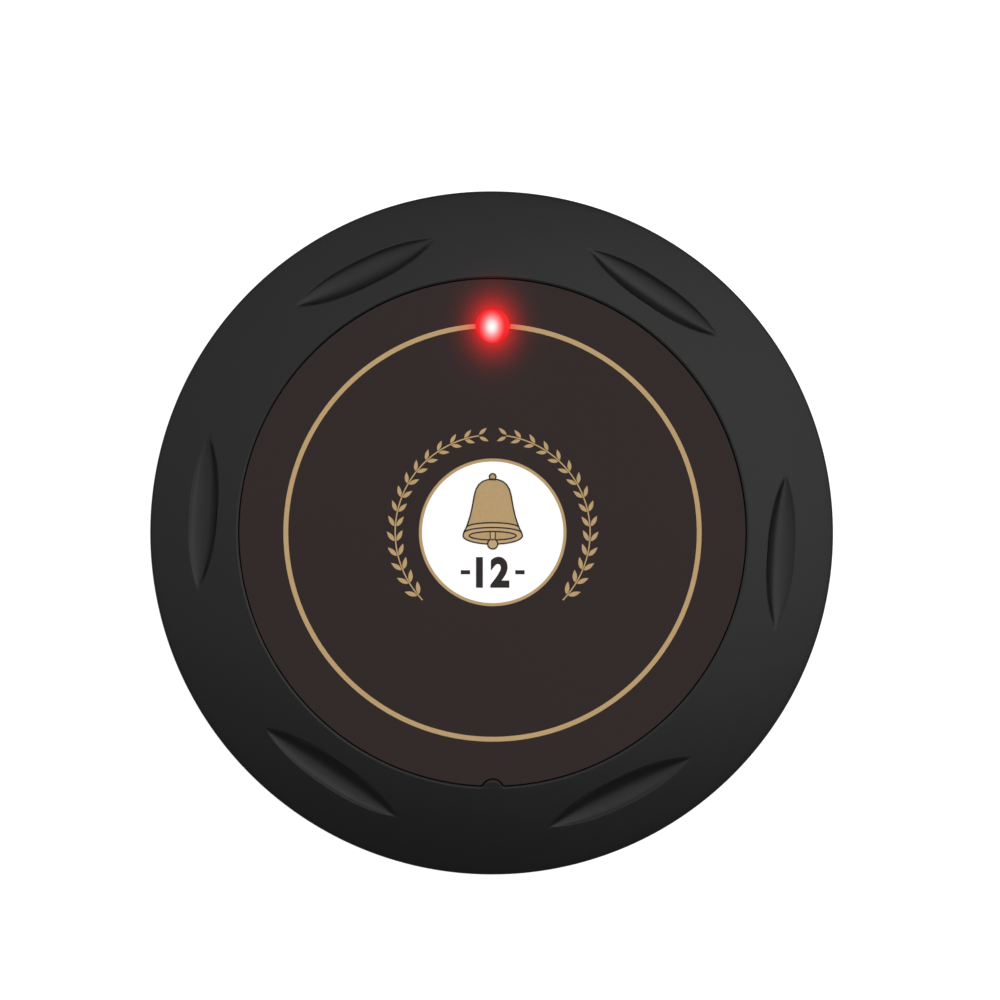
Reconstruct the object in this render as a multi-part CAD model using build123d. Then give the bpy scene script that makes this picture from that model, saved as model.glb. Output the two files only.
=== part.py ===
from build123d import *
import math
import os

# A round one-key table call button. A base cover is stuck or screwed to the table, and the
# upper housing turns on to it with a three-lug bayonet. The housing carries the face button,
# the circuit board, the battery in its holder and the finger-grip grooves round the crown.
# Millimetres. +Z is up through the button, +Y points to the indicator lamp, and the origin is
# the centre of the adhesive pad's underside.

# ---------------------------------------------------------------- outline of the housing
crown_width = 7.65  # from the outer edge in to the well that holds the button
crown_drop = 1.35  # how much lower the crown's outer edge is than its inner edge
crown_start_slope = 5.0  # degrees, at the inner edge
crown_wall = 2.2
edge_radius = 0.5
side_lean = 1.1  # how far the side wall has drawn in at its lower edge
wall_thickness = 1.7
skirt_chamfer = 0.3
rim_radius = 0.15  # rounding of the well's upper edge
well_wall = 1.35

# ---------------------------------------------------------------- finger grooves
groove_count = 6
groove_length = 13.5  # tip to tip
groove_width = 2.6
groove_depth = 0.34
groove_inset = 4.7  # from the outer edge in to the groove's middle
groove_turn = -3.9  # degrees, of the first groove from +X

# ---------------------------------------------------------------- key that orients the button
key_radius = 0.9
key_reach = 0.66
key_blend = 0.35

# ---------------------------------------------------------------- adhesive pad and base cover
pad_edge_margin = 2.0  # outside the screw holes
pad_thickness = 1.0
pad_pocket_depth = 0.5
pad_clearance = 0.3
floor_thickness = 1.4
flange_inset = 0.5  # the base's rim inside the housing's lower edge
flange_thickness = 2.1
foot_chamfer = 0.6
parting_gap = 0.15
land_height = 2.6
land_clearance = 0.3
collar_thickness = 1.6
floor_rib_count = 6
floor_rib_width = 1.0
floor_rib_height = 0.5
floor_rib_inner = 12.0

# ---------------------------------------------------------------- fixing screws of the base
fixing_spacing = 32.0
fixing_hole_diameter = 3.6
fixing_head_diameter = 6.4
fixing_sink_depth = 0.9
fixing_pad_hole_diameter = 8.0

# ---------------------------------------------------------------- bayonet
lug_count = 3
lug_span = 34.0  # degrees
lug_reach = 1.5
lug_thickness = 1.4
lug_gap = 0.2  # axial, between the two lugs when locked
lug_clearance = 0.3  # radial, between a lug and the wall it slides along
lug_free_gap = 6.0  # degrees, between the two lugs when unlocked
stop_span = 2.0  # degrees
stop_clearance = 0.5  # degrees
base_lug_thickness = 1.3
base_lug_reach = 1.4

# ---------------------------------------------------------------- seal ring
seal_groove_height = 1.6
seal_groove_depth = 1.1
seal_clearance = 0.05

# ---------------------------------------------------------------- circuit board and its screws
board_thickness = 1.2
board_margin = 1.4  # from the housing's lugs in to the board's edge
board_clearance = 0.3
board_arm_end = 15.6  # how far the arms beside the battery reach towards -Y
boss_radius = 1.9
ear_radius = 1.5
screw_shank_diameter = 1.5
screw_thread_clearance = 0.1
screw_hole_clearance = 0.4
screw_length = 4.2
pilot_spare = 0.6
screw_head_diameter = 3.2
screw_head_height = 1.2
screw_head_clearance = 0.1  # to the housing's wall
screw_slot_width = 0.5
screw_slot_depth = 0.5

# ---------------------------------------------------------------- push switch
switch_width = 6.0
switch_body_height = 2.7
switch_frame_thickness = 0.3
switch_stem_height = 0.8
switch_stem_diameter = 3.5
switch_collar_reach = 0.4
switch_collar_thickness = 0.4
switch_collar_play = 0.05
switch_cavity_clearance = 0.25
switch_stem_clearance = 0.1
switch_travel = 0.3
dome_thickness = 0.12
dome_rise = 0.5
dome_clearance = 0.15
terminal_width = 0.9
terminal_thickness = 0.2
terminal_reach = 1.1

# ---------------------------------------------------------------- face button, label and lens
button_gap = 0.15
button_thickness = 1.3
button_travel = 0.5
button_edge_radius = 0.2
pusher_diameter = 6.0
pusher_least_height = 0.6
skirt_thickness = 1.2
button_flange_thickness = 0.9
flange_clearance = 0.3
up_stop_gap = 0.15
return_ring_height = 1.9
return_ring_width = 1.2
button_rib_count = 8
button_rib_width = 0.9
button_rib_depth = 0.4
label_thickness = 0.3
label_margin = 0.05
label_recess = 0.25
lens_diameter = 3.0
lens_inset = 4.22  # from the well's wall in to the lamp
lens_flange_reach = 0.7
lens_flange_thickness = 0.6
lens_crown = 0.25
lens_clearance = 0.05

# ---------------------------------------------------------------- lamp
lamp_diameter = 3.0
lamp_height = 3.3
lamp_rim_reach = 0.4
lamp_rim_thickness = 0.8
lead_diameter = 0.5
lead_pitch = 1.9
lead_tail = 0.9
lead_clearance = 0.1

# ---------------------------------------------------------------- battery, its holder and contacts
battery_diameter = 10.3
battery_length = 28.5
battery_nub_diameter = 4.6
battery_nub_height = 1.0
battery_floor_gap = 0.8
battery_clearance = 0.15
battery_side_room = 2.425  # from the battery's outer corner to the base's collar
holder_wall = 0.9
holder_roof = 0.8
holder_bottom_gap = 2.6  # from the base's floor up to the holder's lower edge
holder_switch_gap = 1.4
holder_plate_gap = 0.25  # above the roof, with the button pressed
holder_notch_diameter = 8.0
holder_lower_clearance = 0.6  # inside the base's collar
holder_skirt_clearance = 0.2
holder_ear_width = 4.0
holder_ear_depth = 2.2
holder_ear_thickness = 0.9
holder_ear_offset = 10.0
holder_peg_diameter = 1.2
holder_peg_tail = 0.3
contact_thickness = 0.4
contact_width = 7.0
contact_tab_length = 2.4  # on the board, past its edge
contact_tab_height = 1.6
contact_pin_width = 0.9
contact_stud_diameter = 3.0
contact_stud_reach = 0.2
spring_length = 2.6  # squeezed, with the battery in place
spring_wire_diameter = 0.6
spring_turns = 3.5
spring_large_radius = 2.8
spring_small_radius = 1.6

# ---------------------------------------------------------------- radio parts under the board
chip_x = -9.5
chip_y = 5.0
chip_length = 4.9
chip_width = 3.9
chip_height = 1.5
chip_standoff = 0.1
chip_lead_count = 4  # on each long side
chip_lead_pitch = 1.27
chip_lead_length = 1.0
chip_lead_width = 0.42
chip_lead_thickness = 0.2
can_x = 9.5
can_y = 4.2
can_diameter = 8.4
can_height = 3.2
can_edge_radius = 0.4
can_rim_reach = 0.4
can_rim_thickness = 0.5
coil_lead_gap = 0.8  # from the lamp's leads to the coil
coil_radius = 2.4
coil_pitch = 2.0
coil_turns = 7
coil_wire_diameter = 0.7
coil_board_gap = 0.25
small_part_length = 2.0
small_part_width = 1.25
small_part_pitch = 2.2
resistor_count = 5
resistor_height = 0.5
resistor_x = -15.5
resistor_y = -2.0
capacitor_count = 4
capacitor_height = 0.9
capacitor_x = 17.0
capacitor_y = 1.0
board_edge_gap = 0.25  # from the board's cut-out to the holder

# ---------------------------------------------------------------- battery bay that follows
holder_inner_length = battery_length + spring_length + contact_stud_reach + 2 * contact_thickness
holder_half_length = holder_inner_length / 2 + holder_wall
holder_half_width = battery_diameter / 2 + battery_clearance + holder_wall
battery_end = holder_inner_length / 2 - contact_thickness - contact_stud_reach
battery_start = battery_end - battery_length
battery_y = -(switch_width / 2 + holder_switch_gap + holder_half_width)
battery_corner = math.hypot(battery_end - battery_nub_height, battery_y - battery_diameter / 2)
board_cut_edge = battery_y + holder_half_width + board_edge_gap

# ---------------------------------------------------------------- radii that follow, from the bay out
collar_inner = battery_corner + battery_side_room
collar_radius = collar_inner + collar_thickness
base_lug_outer = collar_radius + base_lug_reach
housing_lug_inner = collar_radius + lug_clearance
bore_radius = housing_lug_inner + lug_reach
land_radius = bore_radius - land_clearance
skirt_radius = bore_radius + wall_thickness
body_radius = skirt_radius + side_lean
well_radius = body_radius - crown_width
well_wall_radius = well_radius + well_wall
seal_groove_radius = land_radius - seal_groove_depth
base_rim_radius = skirt_radius - flange_inset
board_radius = housing_lug_inner - board_margin
boss_circle = bore_radius - screw_head_diameter / 2 - screw_head_clearance
switch_collar_radius = switch_stem_diameter / 2 + switch_collar_reach
switch_cavity_radius = switch_collar_radius + switch_cavity_clearance
button_radius = well_radius - button_gap
skirt_inner = button_radius - skirt_thickness
button_flange_radius = boss_circle - boss_radius - flange_clearance
groove_circle = body_radius - groove_inset
lens_circle = well_radius - lens_inset
coil_y = lens_circle - (lead_diameter + coil_wire_diameter) / 2 - coil_lead_gap - coil_radius
pad_radius = (fixing_spacing + fixing_pad_hole_diameter) / 2 + pad_edge_margin

# ---------------------------------------------------------------- heights that follow, from the table up
floor_bottom = pad_thickness
base_bottom = pad_thickness - pad_pocket_depth
floor_top = floor_bottom + floor_thickness
flange_top = base_bottom + flange_thickness
skirt_bottom = flange_top + parting_gap
land_top = flange_top + land_height
housing_lug_bottom = land_top + lug_gap
housing_lug_top = housing_lug_bottom + lug_thickness
base_lug_bottom = housing_lug_top + lug_gap
collar_top = base_lug_bottom + base_lug_thickness
board_bottom = collar_top + board_clearance + screw_head_height
board_top = board_bottom + board_thickness
switch_collar_bottom = board_top + switch_body_height - switch_collar_play - switch_collar_thickness
switch_top = board_top + switch_body_height + switch_frame_thickness
stem_top = switch_top + switch_stem_height
battery_height = floor_top + battery_floor_gap + battery_diameter / 2
roof_inner = battery_height + battery_diameter / 2 + battery_clearance
roof_top = roof_inner + holder_roof
holder_bottom = floor_top + holder_bottom_gap
free_play = button_travel - switch_travel
pusher_bottom = stem_top + free_play
plate_over_switch = pusher_bottom + pusher_least_height
plate_over_holder = roof_top + holder_plate_gap + button_travel + button_rib_depth
plate_bottom = max(plate_over_switch, plate_over_holder)
plate_top = plate_bottom + button_thickness
label_top = plate_top + label_thickness
crown_top = label_top + label_recess
crown_edge = crown_top - crown_drop
button_flange_bottom = board_top + return_ring_height
button_flange_top = button_flange_bottom + button_flange_thickness
well_bottom = button_flange_top + up_stop_gap

# ---------------------------------------------------------------- angles that follow
lug_step = 360 / lug_count
housing_lug_centre = 30.0  # degrees, with the screw bosses half-way between lugs
lock_turn = lug_span + lug_free_gap  # from free to locked, clockwise
base_lug_centre = housing_lug_centre - lock_turn
boss_angle = housing_lug_centre + lug_step / 2
overlap = 0.2  # how deep a feature is rooted in the wall that carries it

FROM_BELOW = (Align.CENTER, Align.CENTER, Align.MIN)


# ---------------------------------------------------------------- shaping helpers
def disc(radius, bottom, top, x=0.0, y=0.0):
    """A round slab or pin between two heights."""
    return Pos(x, y, bottom) * Cylinder(radius, top - bottom, align=FROM_BELOW)


def ring(outer, inner, bottom, top):
    """A flat ring between two heights."""
    return disc(outer, bottom, top) - disc(inner, bottom, top)


def block(length, width, bottom, top, x=0.0, y=0.0):
    """A box centred on x and y between two heights."""
    return Pos(x, y, bottom) * Box(length, width, top - bottom, align=FROM_BELOW)


def section(points):
    """A closed outline of radius and height pairs, in the plane through the axis."""
    return Plane.XZ * make_face(Polyline(*points, close=True))


def sector(outer, inner, bottom, top, middle, span):
    """A stretch of a ring, span degrees wide about the middle angle."""
    corners = [(inner, bottom), (outer, bottom), (outer, top), (inner, top)]
    swept = revolve(section(corners), Axis.Z, span)
    return Rot(0, 0, middle - span / 2) * swept


def around(shape, count, start=0.0):
    """Copies of a shape, evenly spaced about the axis."""
    return [Rot(0, 0, start + 360 / count * index) * shape for index in range(count)]


def grouped(shapes):
    """Several separate solids as one node."""
    return Compound(children=[solid for shape in shapes for solid in shape.solids()])


# ---------------------------------------------------------------- outline shared by well, button and label
def face_outline(inset):
    """The well's circle with its half-round key, drawn in by the inset."""
    outer = well_radius - inset
    bite = key_radius + inset
    centre = -(well_radius + key_radius - key_reach)
    outline = Circle(outer) - Pos(0, centre) * Circle(bite)
    corners = outline.vertices().filter_by(lambda v: abs(v.X) < 2 * bite and v.Y < 0)
    return fillet(corners, key_blend)


# ---------------------------------------------------------------- adhesive pad
def make_adhesive_pad():
    pad = disc(pad_radius, 0, pad_thickness)
    for side in (-1, 1):
        pad -= disc(fixing_pad_hole_diameter / 2, 0, pad_thickness, side * fixing_spacing / 2)
    return pad


# ---------------------------------------------------------------- base cover
def fixing_hole_cutter():
    """A clear hole through the floor with a countersink for a flat-headed screw on the inside."""
    hole = fixing_hole_diameter / 2
    head = fixing_head_diameter / 2
    outline = [
        (0, floor_bottom - overlap),
        (hole, floor_bottom - overlap),
        (hole, floor_top - fixing_sink_depth),
        (head, floor_top),
        (head, floor_top + overlap),
        (0, floor_top + overlap),
    ]
    return revolve(section(outline), Axis.Z)


def make_base_cover():
    pocket = pad_radius + pad_clearance
    groove_floor = flange_top + (land_height - seal_groove_height) / 2
    groove_roof = groove_floor + seal_groove_height
    outline = [
        (0, floor_bottom),
        (pocket, floor_bottom),
        (pocket, base_bottom),
        (base_rim_radius - foot_chamfer, base_bottom),
        (base_rim_radius, base_bottom + foot_chamfer),
        (base_rim_radius, flange_top),
        (land_radius, flange_top),
        (land_radius, groove_floor),
        (seal_groove_radius, groove_floor),
        (seal_groove_radius, groove_roof),
        (land_radius, groove_roof),
        (land_radius, land_top),
        (collar_radius, land_top),
        (collar_radius, collar_top),
        (collar_inner, collar_top),
        (collar_inner, floor_top),
        (0, floor_top),
    ]
    cover = revolve(section(outline), Axis.Z)
    root = collar_radius - overlap
    lug_start = base_lug_centre - lug_span / 2 - stop_clearance - stop_span
    whole_span = base_lug_centre + lug_span / 2 - lug_start
    lug_middle = lug_start + whole_span / 2
    lug = sector(base_lug_outer, root, base_lug_bottom, collar_top, lug_middle, whole_span)
    stop_middle = lug_start + stop_span / 2
    stop = sector(base_lug_outer, root, land_top - overlap, collar_top, stop_middle, stop_span)
    cover += around(lug + stop, lug_count)
    rib_length = collar_inner - floor_rib_inner + overlap
    rib = block(
        rib_length,
        floor_rib_width,
        floor_top - overlap,
        floor_top + floor_rib_height,
        floor_rib_inner + rib_length / 2,
    )
    cover += around(rib, floor_rib_count, 180 / floor_rib_count)
    for side in (-1, 1):
        cover -= Pos(side * fixing_spacing / 2, 0) * fixing_hole_cutter()
    return cover


# ---------------------------------------------------------------- seal ring between base and housing
def make_seal_ring():
    section_radius = (bore_radius - seal_groove_radius) / 2 - seal_clearance
    middle = (bore_radius + seal_groove_radius) / 2
    height = flange_top + land_height / 2
    return Pos(0, 0, height) * Torus(middle, section_radius)


# ---------------------------------------------------------------- upper housing
def crown_arc():
    """Centre and radius of the crown's arc, in the plane through the axis."""
    chord = math.hypot(crown_width, crown_drop)
    fall = math.atan2(crown_drop, crown_width)
    start = math.radians(crown_start_slope)
    arc_radius = chord / (2 * math.sin(fall - start))
    centre_r = well_radius - arc_radius * math.sin(start)
    centre_z = crown_top - arc_radius * math.cos(start)
    return centre_r, centre_z, arc_radius


def housing_section():
    key_tip = well_radius - key_reach
    start = math.radians(crown_start_slope)
    crown = TangentArc(
        (well_radius, crown_top),
        (body_radius, crown_edge),
        tangent=(math.cos(start), -math.sin(start)),
    )
    side = TangentArc(
        (body_radius, crown_edge),
        (skirt_radius, skirt_bottom + skirt_chamfer),
        tangent=(0, -1),
    )
    inside = Polyline(
        (skirt_radius, skirt_bottom + skirt_chamfer),
        (skirt_radius - skirt_chamfer, skirt_bottom),
        (bore_radius, skirt_bottom),
        (bore_radius, crown_edge - crown_wall),
        (well_wall_radius, crown_top - crown_wall),
        (well_wall_radius, well_bottom),
        (key_tip, well_bottom),
        (key_tip, crown_top),
        (well_radius, crown_top),
    )
    outline = make_face(crown + side + inside)
    edge = outline.vertices().sort_by_distance((body_radius, crown_edge, 0))[0]
    return Plane.XZ * fillet(edge, edge_radius)


def groove_cutter():
    """A long barrel pressed square into the crown, which it leaves again at the groove's tips."""
    half = groove_length / 2
    centre_r, centre_z, arc_radius = crown_arc()
    thickest = ((groove_width / 2) ** 2 + groove_depth**2) / (2 * groove_depth)
    lean = math.asin((groove_circle - centre_r) / arc_radius)
    reach = arc_radius + thickest - groove_depth
    axis_r = centre_r + reach * math.sin(lean)
    axis_z = centre_z + reach * math.cos(lean)
    tip_r = math.hypot(axis_r, half)
    at_tip = math.hypot(tip_r - centre_r, axis_z - centre_z) - arc_radius
    sag = thickest - at_tip
    bow_radius = (half**2 + sag**2) / (2 * sag)
    end = half + overlap
    at_end = thickest - bow_radius + math.sqrt(bow_radius**2 - end**2)
    bow = ThreePointArc((-end, at_end), (0, thickest), (end, at_end))
    outline = bow + Polyline((end, at_end), (end, 0), (-end, 0), (-end, at_end))
    barrel = revolve(make_face(outline), Axis.X)
    return Pos(axis_r, 0, axis_z) * Rot(0, 0, 90) * barrel


def make_top_housing():
    shell = revolve(housing_section(), Axis.Z)
    well = extrude(face_outline(0), crown_top - well_bottom + 2 * overlap)
    shell -= Pos(0, 0, well_bottom - overlap) * well
    rim = shell.edges().filter_by(
        lambda e: e.bounding_box().min.Z > crown_top - 0.05 and e.bounding_box().max.X < well_radius + 0.01
    )
    shell = fillet(rim, rim_radius)
    shell -= around(groove_cutter(), groove_count, groove_turn)
    lug = sector(
        bore_radius + overlap,
        housing_lug_inner,
        housing_lug_bottom,
        housing_lug_top,
        housing_lug_centre,
        lug_span,
    )
    shell += around(lug, lug_count)
    boss = disc(boss_radius, board_top, crown_top - crown_wall, boss_circle)
    shell += around(boss, lug_count, boss_angle)
    pilot_radius = (screw_shank_diameter + screw_thread_clearance) / 2
    pilot = disc(pilot_radius, board_top, board_bottom + screw_length + pilot_spare, boss_circle)
    shell -= around(pilot, lug_count, boss_angle)
    return shell


# ---------------------------------------------------------------- face button
def make_button_cap():
    plate = Pos(0, 0, plate_bottom) * extrude(face_outline(button_gap), button_thickness)
    top_edges = plate.edges().group_by(Axis.Z)[-1]
    plate = fillet(top_edges, button_edge_radius)
    skirt = ring(button_radius, skirt_inner, button_flange_bottom, plate_bottom + overlap)
    flange = ring(button_flange_radius, skirt_inner, button_flange_bottom, button_flange_top)
    key_centre = -(well_radius + key_radius - key_reach)
    key_way = disc(key_radius + button_gap, button_flange_top, plate_bottom + overlap, 0, key_centre)
    cap = plate + (skirt - key_way) + flange
    cap += disc(pusher_diameter / 2, pusher_bottom, plate_bottom + overlap)
    rib_length = skirt_inner - pusher_diameter / 2 + 2 * overlap
    rib = block(
        rib_length,
        button_rib_width,
        plate_bottom - button_rib_depth,
        plate_bottom + overlap,
        pusher_diameter / 2 - overlap + rib_length / 2,
    )
    cap += around(rib, button_rib_count, 180 / button_rib_count)
    cap -= disc(lens_diameter / 2 + lens_clearance, pusher_bottom, label_top, 0, lens_circle)
    return cap


def make_face_label():
    film = extrude(face_outline(button_gap + label_margin), label_thickness)
    return Pos(0, 0, plate_top) * film - disc(
        lens_diameter / 2 + lens_clearance, plate_top, label_top, 0, lens_circle
    )


def make_lamp_lens():
    rod = disc(lens_diameter / 2, plate_bottom - lens_flange_thickness, label_top, 0, lens_circle)
    flange_radius = lens_diameter / 2 + lens_flange_reach
    flange_bottom = plate_bottom - lens_flange_thickness
    flange = disc(flange_radius, flange_bottom, plate_bottom, 0, lens_circle)
    half = lens_diameter / 2
    crown_radius = (half**2 + lens_crown**2) / (2 * lens_crown)
    ball = Pos(0, lens_circle, label_top + lens_crown - crown_radius) * Sphere(crown_radius)
    crown = ball & disc(half, label_top - overlap, label_top + 2 * lens_crown, 0, lens_circle)
    return rod + flange + crown


def make_return_ring():
    inner = button_flange_radius - return_ring_width
    return ring(button_flange_radius, inner, board_top, button_flange_bottom)


# ---------------------------------------------------------------- push switch under the button
def make_switch_base():
    top = board_top + switch_body_height
    body = block(switch_width, switch_width, board_top, top)
    return body - disc(switch_cavity_radius, switch_collar_bottom - dome_rise, top)


def make_switch_frame():
    bottom = board_top + switch_body_height
    plate = block(switch_width, switch_width, bottom, switch_top)
    return plate - disc(switch_stem_diameter / 2 + switch_stem_clearance, bottom, switch_top)


def make_switch_plunger():
    collar_top_level = switch_collar_bottom + switch_collar_thickness
    collar = disc(switch_collar_radius, switch_collar_bottom, collar_top_level)
    stem = disc(switch_stem_diameter / 2, switch_collar_bottom, stem_top)
    return collar + stem


def make_switch_dome():
    """The snap dome: a shallow cap of spring steel that lies on the cavity's floor."""
    half = switch_cavity_radius - dome_clearance
    sphere_radius = (half**2 + dome_rise**2) / (2 * dome_rise)
    shell = Sphere(sphere_radius) - Sphere(sphere_radius - dome_thickness)
    cap = Pos(0, 0, switch_collar_bottom - sphere_radius) * shell
    return cap & disc(half, switch_collar_bottom - dome_rise, switch_collar_bottom)


def make_switch_terminals():
    """Four flat feet that the switch is soldered down by."""
    feet = []
    for x_side in (-1, 1):
        for y_side in (-1, 1):
            x = x_side * (switch_width / 2 + terminal_reach / 2)
            y = y_side * switch_width / 4
            feet.append(
                block(terminal_reach, terminal_width, board_top, board_top + terminal_thickness, x, y)
            )
    return grouped(feet)


# ---------------------------------------------------------------- indicator lamp
def make_lamp():
    half = lamp_diameter / 2
    straight_top = board_top + lamp_height - half
    body = disc(half, board_top, straight_top, 0, lens_circle)
    dome = Pos(0, lens_circle, straight_top) * Sphere(half)
    rim = disc(half + lamp_rim_reach, board_top, board_top + lamp_rim_thickness, 0, lens_circle)
    upper = dome & disc(half + 1, straight_top, straight_top + lamp_diameter, 0, lens_circle)
    return body + rim + upper


def lamp_lead_places():
    return [(side * lead_pitch / 2, lens_circle) for side in (-1, 1)]


def make_lamp_leads():
    bottom = board_bottom - lead_tail
    return grouped([disc(lead_diameter / 2, bottom, board_top, x, y) for x, y in lamp_lead_places()])


# ---------------------------------------------------------------- circuit board
def contact_pin_place(side):
    x = side * (holder_inner_length / 2 - contact_thickness / 2)
    return x, board_cut_edge + contact_tab_length - contact_pin_width / 2


def holder_peg_places():
    y = battery_y + holder_half_width + holder_ear_depth / 2
    return [(side * holder_ear_offset, y) for side in (-1, 1)]


def make_circuit_board():
    board = disc(board_radius, board_bottom, board_top)
    ear = disc(ear_radius, board_bottom, board_top, boss_circle)
    neck_length = boss_circle - board_radius + 2
    neck = block(neck_length, 2 * ear_radius, board_bottom, board_top, boss_circle - neck_length / 2)
    board += around(ear + neck, lug_count, boss_angle)
    cut_half_length = holder_half_length + board_edge_gap
    cut_width = board_radius + board_cut_edge + ear_radius
    cut_middle = board_cut_edge - cut_width / 2
    board -= block(2 * cut_half_length, cut_width, board_bottom, board_top, 0, cut_middle)
    arm_trim = board_radius - board_arm_end
    board -= block(
        2 * board_radius, arm_trim, board_bottom, board_top, 0, -board_arm_end - arm_trim / 2
    )
    hole_radius = (screw_shank_diameter + screw_hole_clearance) / 2
    screw_hole = disc(hole_radius, board_bottom, board_top, boss_circle)
    board -= around(screw_hole, lug_count, boss_angle)
    for x, y in holder_peg_places():
        board -= disc(holder_peg_diameter / 2 + lead_clearance, board_bottom, board_top, x, y)
    for x, y in lamp_lead_places():
        board -= disc(lead_diameter / 2 + lead_clearance, board_bottom, board_top, x, y)
    for x, y in coil_leg_places():
        board -= disc(coil_wire_diameter / 2 + lead_clearance, board_bottom, board_top, x, y)
    for side in (-1, 1):
        x, y = contact_pin_place(side)
        slot_length = contact_pin_width + 2 * lead_clearance
        slot_width = contact_thickness + 2 * lead_clearance
        board -= block(slot_width, slot_length, board_bottom, board_top, x, y)
    return board


def make_board_screws():
    """Three pan-head screws that hold the board up against its bosses."""
    head = disc(screw_head_diameter / 2, board_bottom - screw_head_height, board_bottom, boss_circle)
    head = chamfer(head.edges().group_by(Axis.Z)[0], screw_head_height / 4)
    shank = disc(
        screw_shank_diameter / 2, board_bottom - overlap, board_bottom + screw_length, boss_circle
    )
    slot_length = screw_head_diameter * 0.7
    slot_top = board_bottom - screw_head_height + screw_slot_depth
    slot_bottom = board_bottom - screw_head_height
    slot = block(slot_length, screw_slot_width, slot_bottom, slot_top, boss_circle)
    cross = block(screw_slot_width, slot_length, slot_bottom, slot_top, boss_circle)
    return grouped(around(head + shank - slot - cross, lug_count, boss_angle))


# ---------------------------------------------------------------- battery holder, battery and contacts
def make_battery_holder():
    box = block(2 * holder_half_length, 2 * holder_half_width, holder_bottom, roof_top, 0, battery_y)
    inner_width = 2 * (holder_half_width - holder_wall)
    box -= block(holder_inner_length, inner_width, holder_bottom, roof_inner, 0, battery_y)
    step = board_bottom + board_thickness / 2
    lower = disc(collar_inner - holder_lower_clearance, holder_bottom, step)
    upper = disc(skirt_inner - holder_skirt_clearance, step, roof_top)
    box &= lower + upper
    notch = Pos(0, battery_y, holder_bottom) * Rot(90, 0, 0) * Cylinder(
        holder_notch_diameter / 2, 3 * holder_half_width
    )
    box -= notch
    ear_y = battery_y + holder_half_width + holder_ear_depth / 2
    for side in (-1, 1):
        x = side * holder_ear_offset
        ear = block(
            holder_ear_width,
            holder_ear_depth + 2 * overlap,
            board_top,
            board_top + holder_ear_thickness,
            x,
            ear_y - overlap,
        )
        box += ear
    for x, y in holder_peg_places():
        box += disc(
            holder_peg_diameter / 2, board_bottom - holder_peg_tail, board_top + overlap, x, y
        )
    front = battery_y + holder_half_width
    slot_top = board_top + contact_tab_height + lead_clearance
    slot_width = contact_thickness + lead_clearance
    for side in (-1, 1):
        x = side * (holder_inner_length / 2 - slot_width / 2)
        box -= block(slot_width, 4 * holder_wall, board_bottom, slot_top, x, front)
    return box


def make_battery():
    can_length = battery_length - battery_nub_height
    can = Cylinder(battery_diameter / 2, can_length, align=FROM_BELOW)
    can = chamfer(can.edges(), 0.4)
    nub = Pos(0, 0, can_length) * Cylinder(battery_nub_diameter / 2, battery_nub_height, align=FROM_BELOW)
    return Pos(battery_start, battery_y, battery_height) * Rot(0, 90, 0) * (can + nub)


def contact_blade(side):
    """A flat blade against the holder's end wall, with a tab that stands on the board's edge."""
    x = side * (holder_inner_length / 2 - contact_thickness / 2)
    blade = block(
        contact_thickness,
        contact_width,
        battery_height - contact_width / 2,
        battery_height + contact_width / 2,
        x,
        battery_y,
    )
    tab_start = battery_y + contact_width / 2 - overlap
    tab_end = board_cut_edge + contact_tab_length
    tab = block(
        contact_thickness,
        tab_end - tab_start,
        board_top,
        board_top + contact_tab_height,
        x,
        (tab_start + tab_end) / 2,
    )
    arm = block(
        contact_thickness,
        holder_half_width - holder_wall - contact_width / 2 + overlap,
        battery_height,
        board_top + contact_tab_height,
        x,
        battery_y + (holder_half_width - holder_wall + contact_width / 2 - overlap) / 2,
    )
    pin_x, pin_y = contact_pin_place(side)
    pin = block(contact_thickness, contact_pin_width, board_bottom, board_top + overlap, pin_x, pin_y)
    return blade + tab + arm + pin


def make_positive_contact():
    blade = contact_blade(1)
    stud_length = contact_stud_reach + contact_thickness / 2
    stud = Cylinder(contact_stud_diameter / 2, stud_length, align=FROM_BELOW)
    return blade + Pos(battery_end, battery_y, battery_height) * Rot(0, 90, 0) * stud


def make_negative_contact():
    return contact_blade(-1)


def make_contact_spring():
    """A conical spring that presses the battery against the positive contact."""
    wire = spring_wire_diameter / 2
    height = spring_length - 2 * wire
    cone = math.degrees(math.atan2(spring_small_radius - spring_large_radius, height))
    path = Helix(height / spring_turns, height, spring_large_radius, cone_angle=cone)
    profile = Plane(origin=path @ 0, z_dir=path % 0) * RegularPolygon(wire, 6)
    coil = sweep(profile, path=path, is_frenet=True)
    return Pos(battery_start - spring_length + wire, battery_y, battery_height) * Rot(0, 90, 0) * coil


# ---------------------------------------------------------------- radio parts on the board's underside
def under_board(shape_height):
    """Lowest height of a part that hangs from the board."""
    return board_bottom - shape_height


def make_encoder_chip():
    bottom = board_bottom - chip_height
    return block(chip_width, chip_length, bottom, board_bottom - chip_standoff, chip_x, chip_y)


def make_chip_leads():
    """Gull-wing leads down both long sides of the chip, as short flat feet."""
    leads = []
    for index in range(chip_lead_count):
        y = chip_y + (index - (chip_lead_count - 1) / 2) * chip_lead_pitch
        for side in (-1, 1):
            x = chip_x + side * (chip_width + chip_lead_length) / 2
            thickness = board_bottom - chip_lead_thickness
            leads.append(block(chip_lead_length, chip_lead_width, thickness, board_bottom, x, y))
    return grouped(leads)


def make_resonator_can():
    can = disc(can_diameter / 2, board_bottom - can_height, board_bottom, can_x, can_y)
    can = fillet(can.edges().group_by(Axis.Z)[0], can_edge_radius)
    outer = can_diameter / 2 + can_rim_reach
    rim = disc(outer, board_bottom - can_rim_thickness, board_bottom, can_x, can_y)
    return can + rim


def coil_leg_places():
    return [(side * coil_pitch * coil_turns / 2, coil_y) for side in (-1, 1)]


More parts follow.
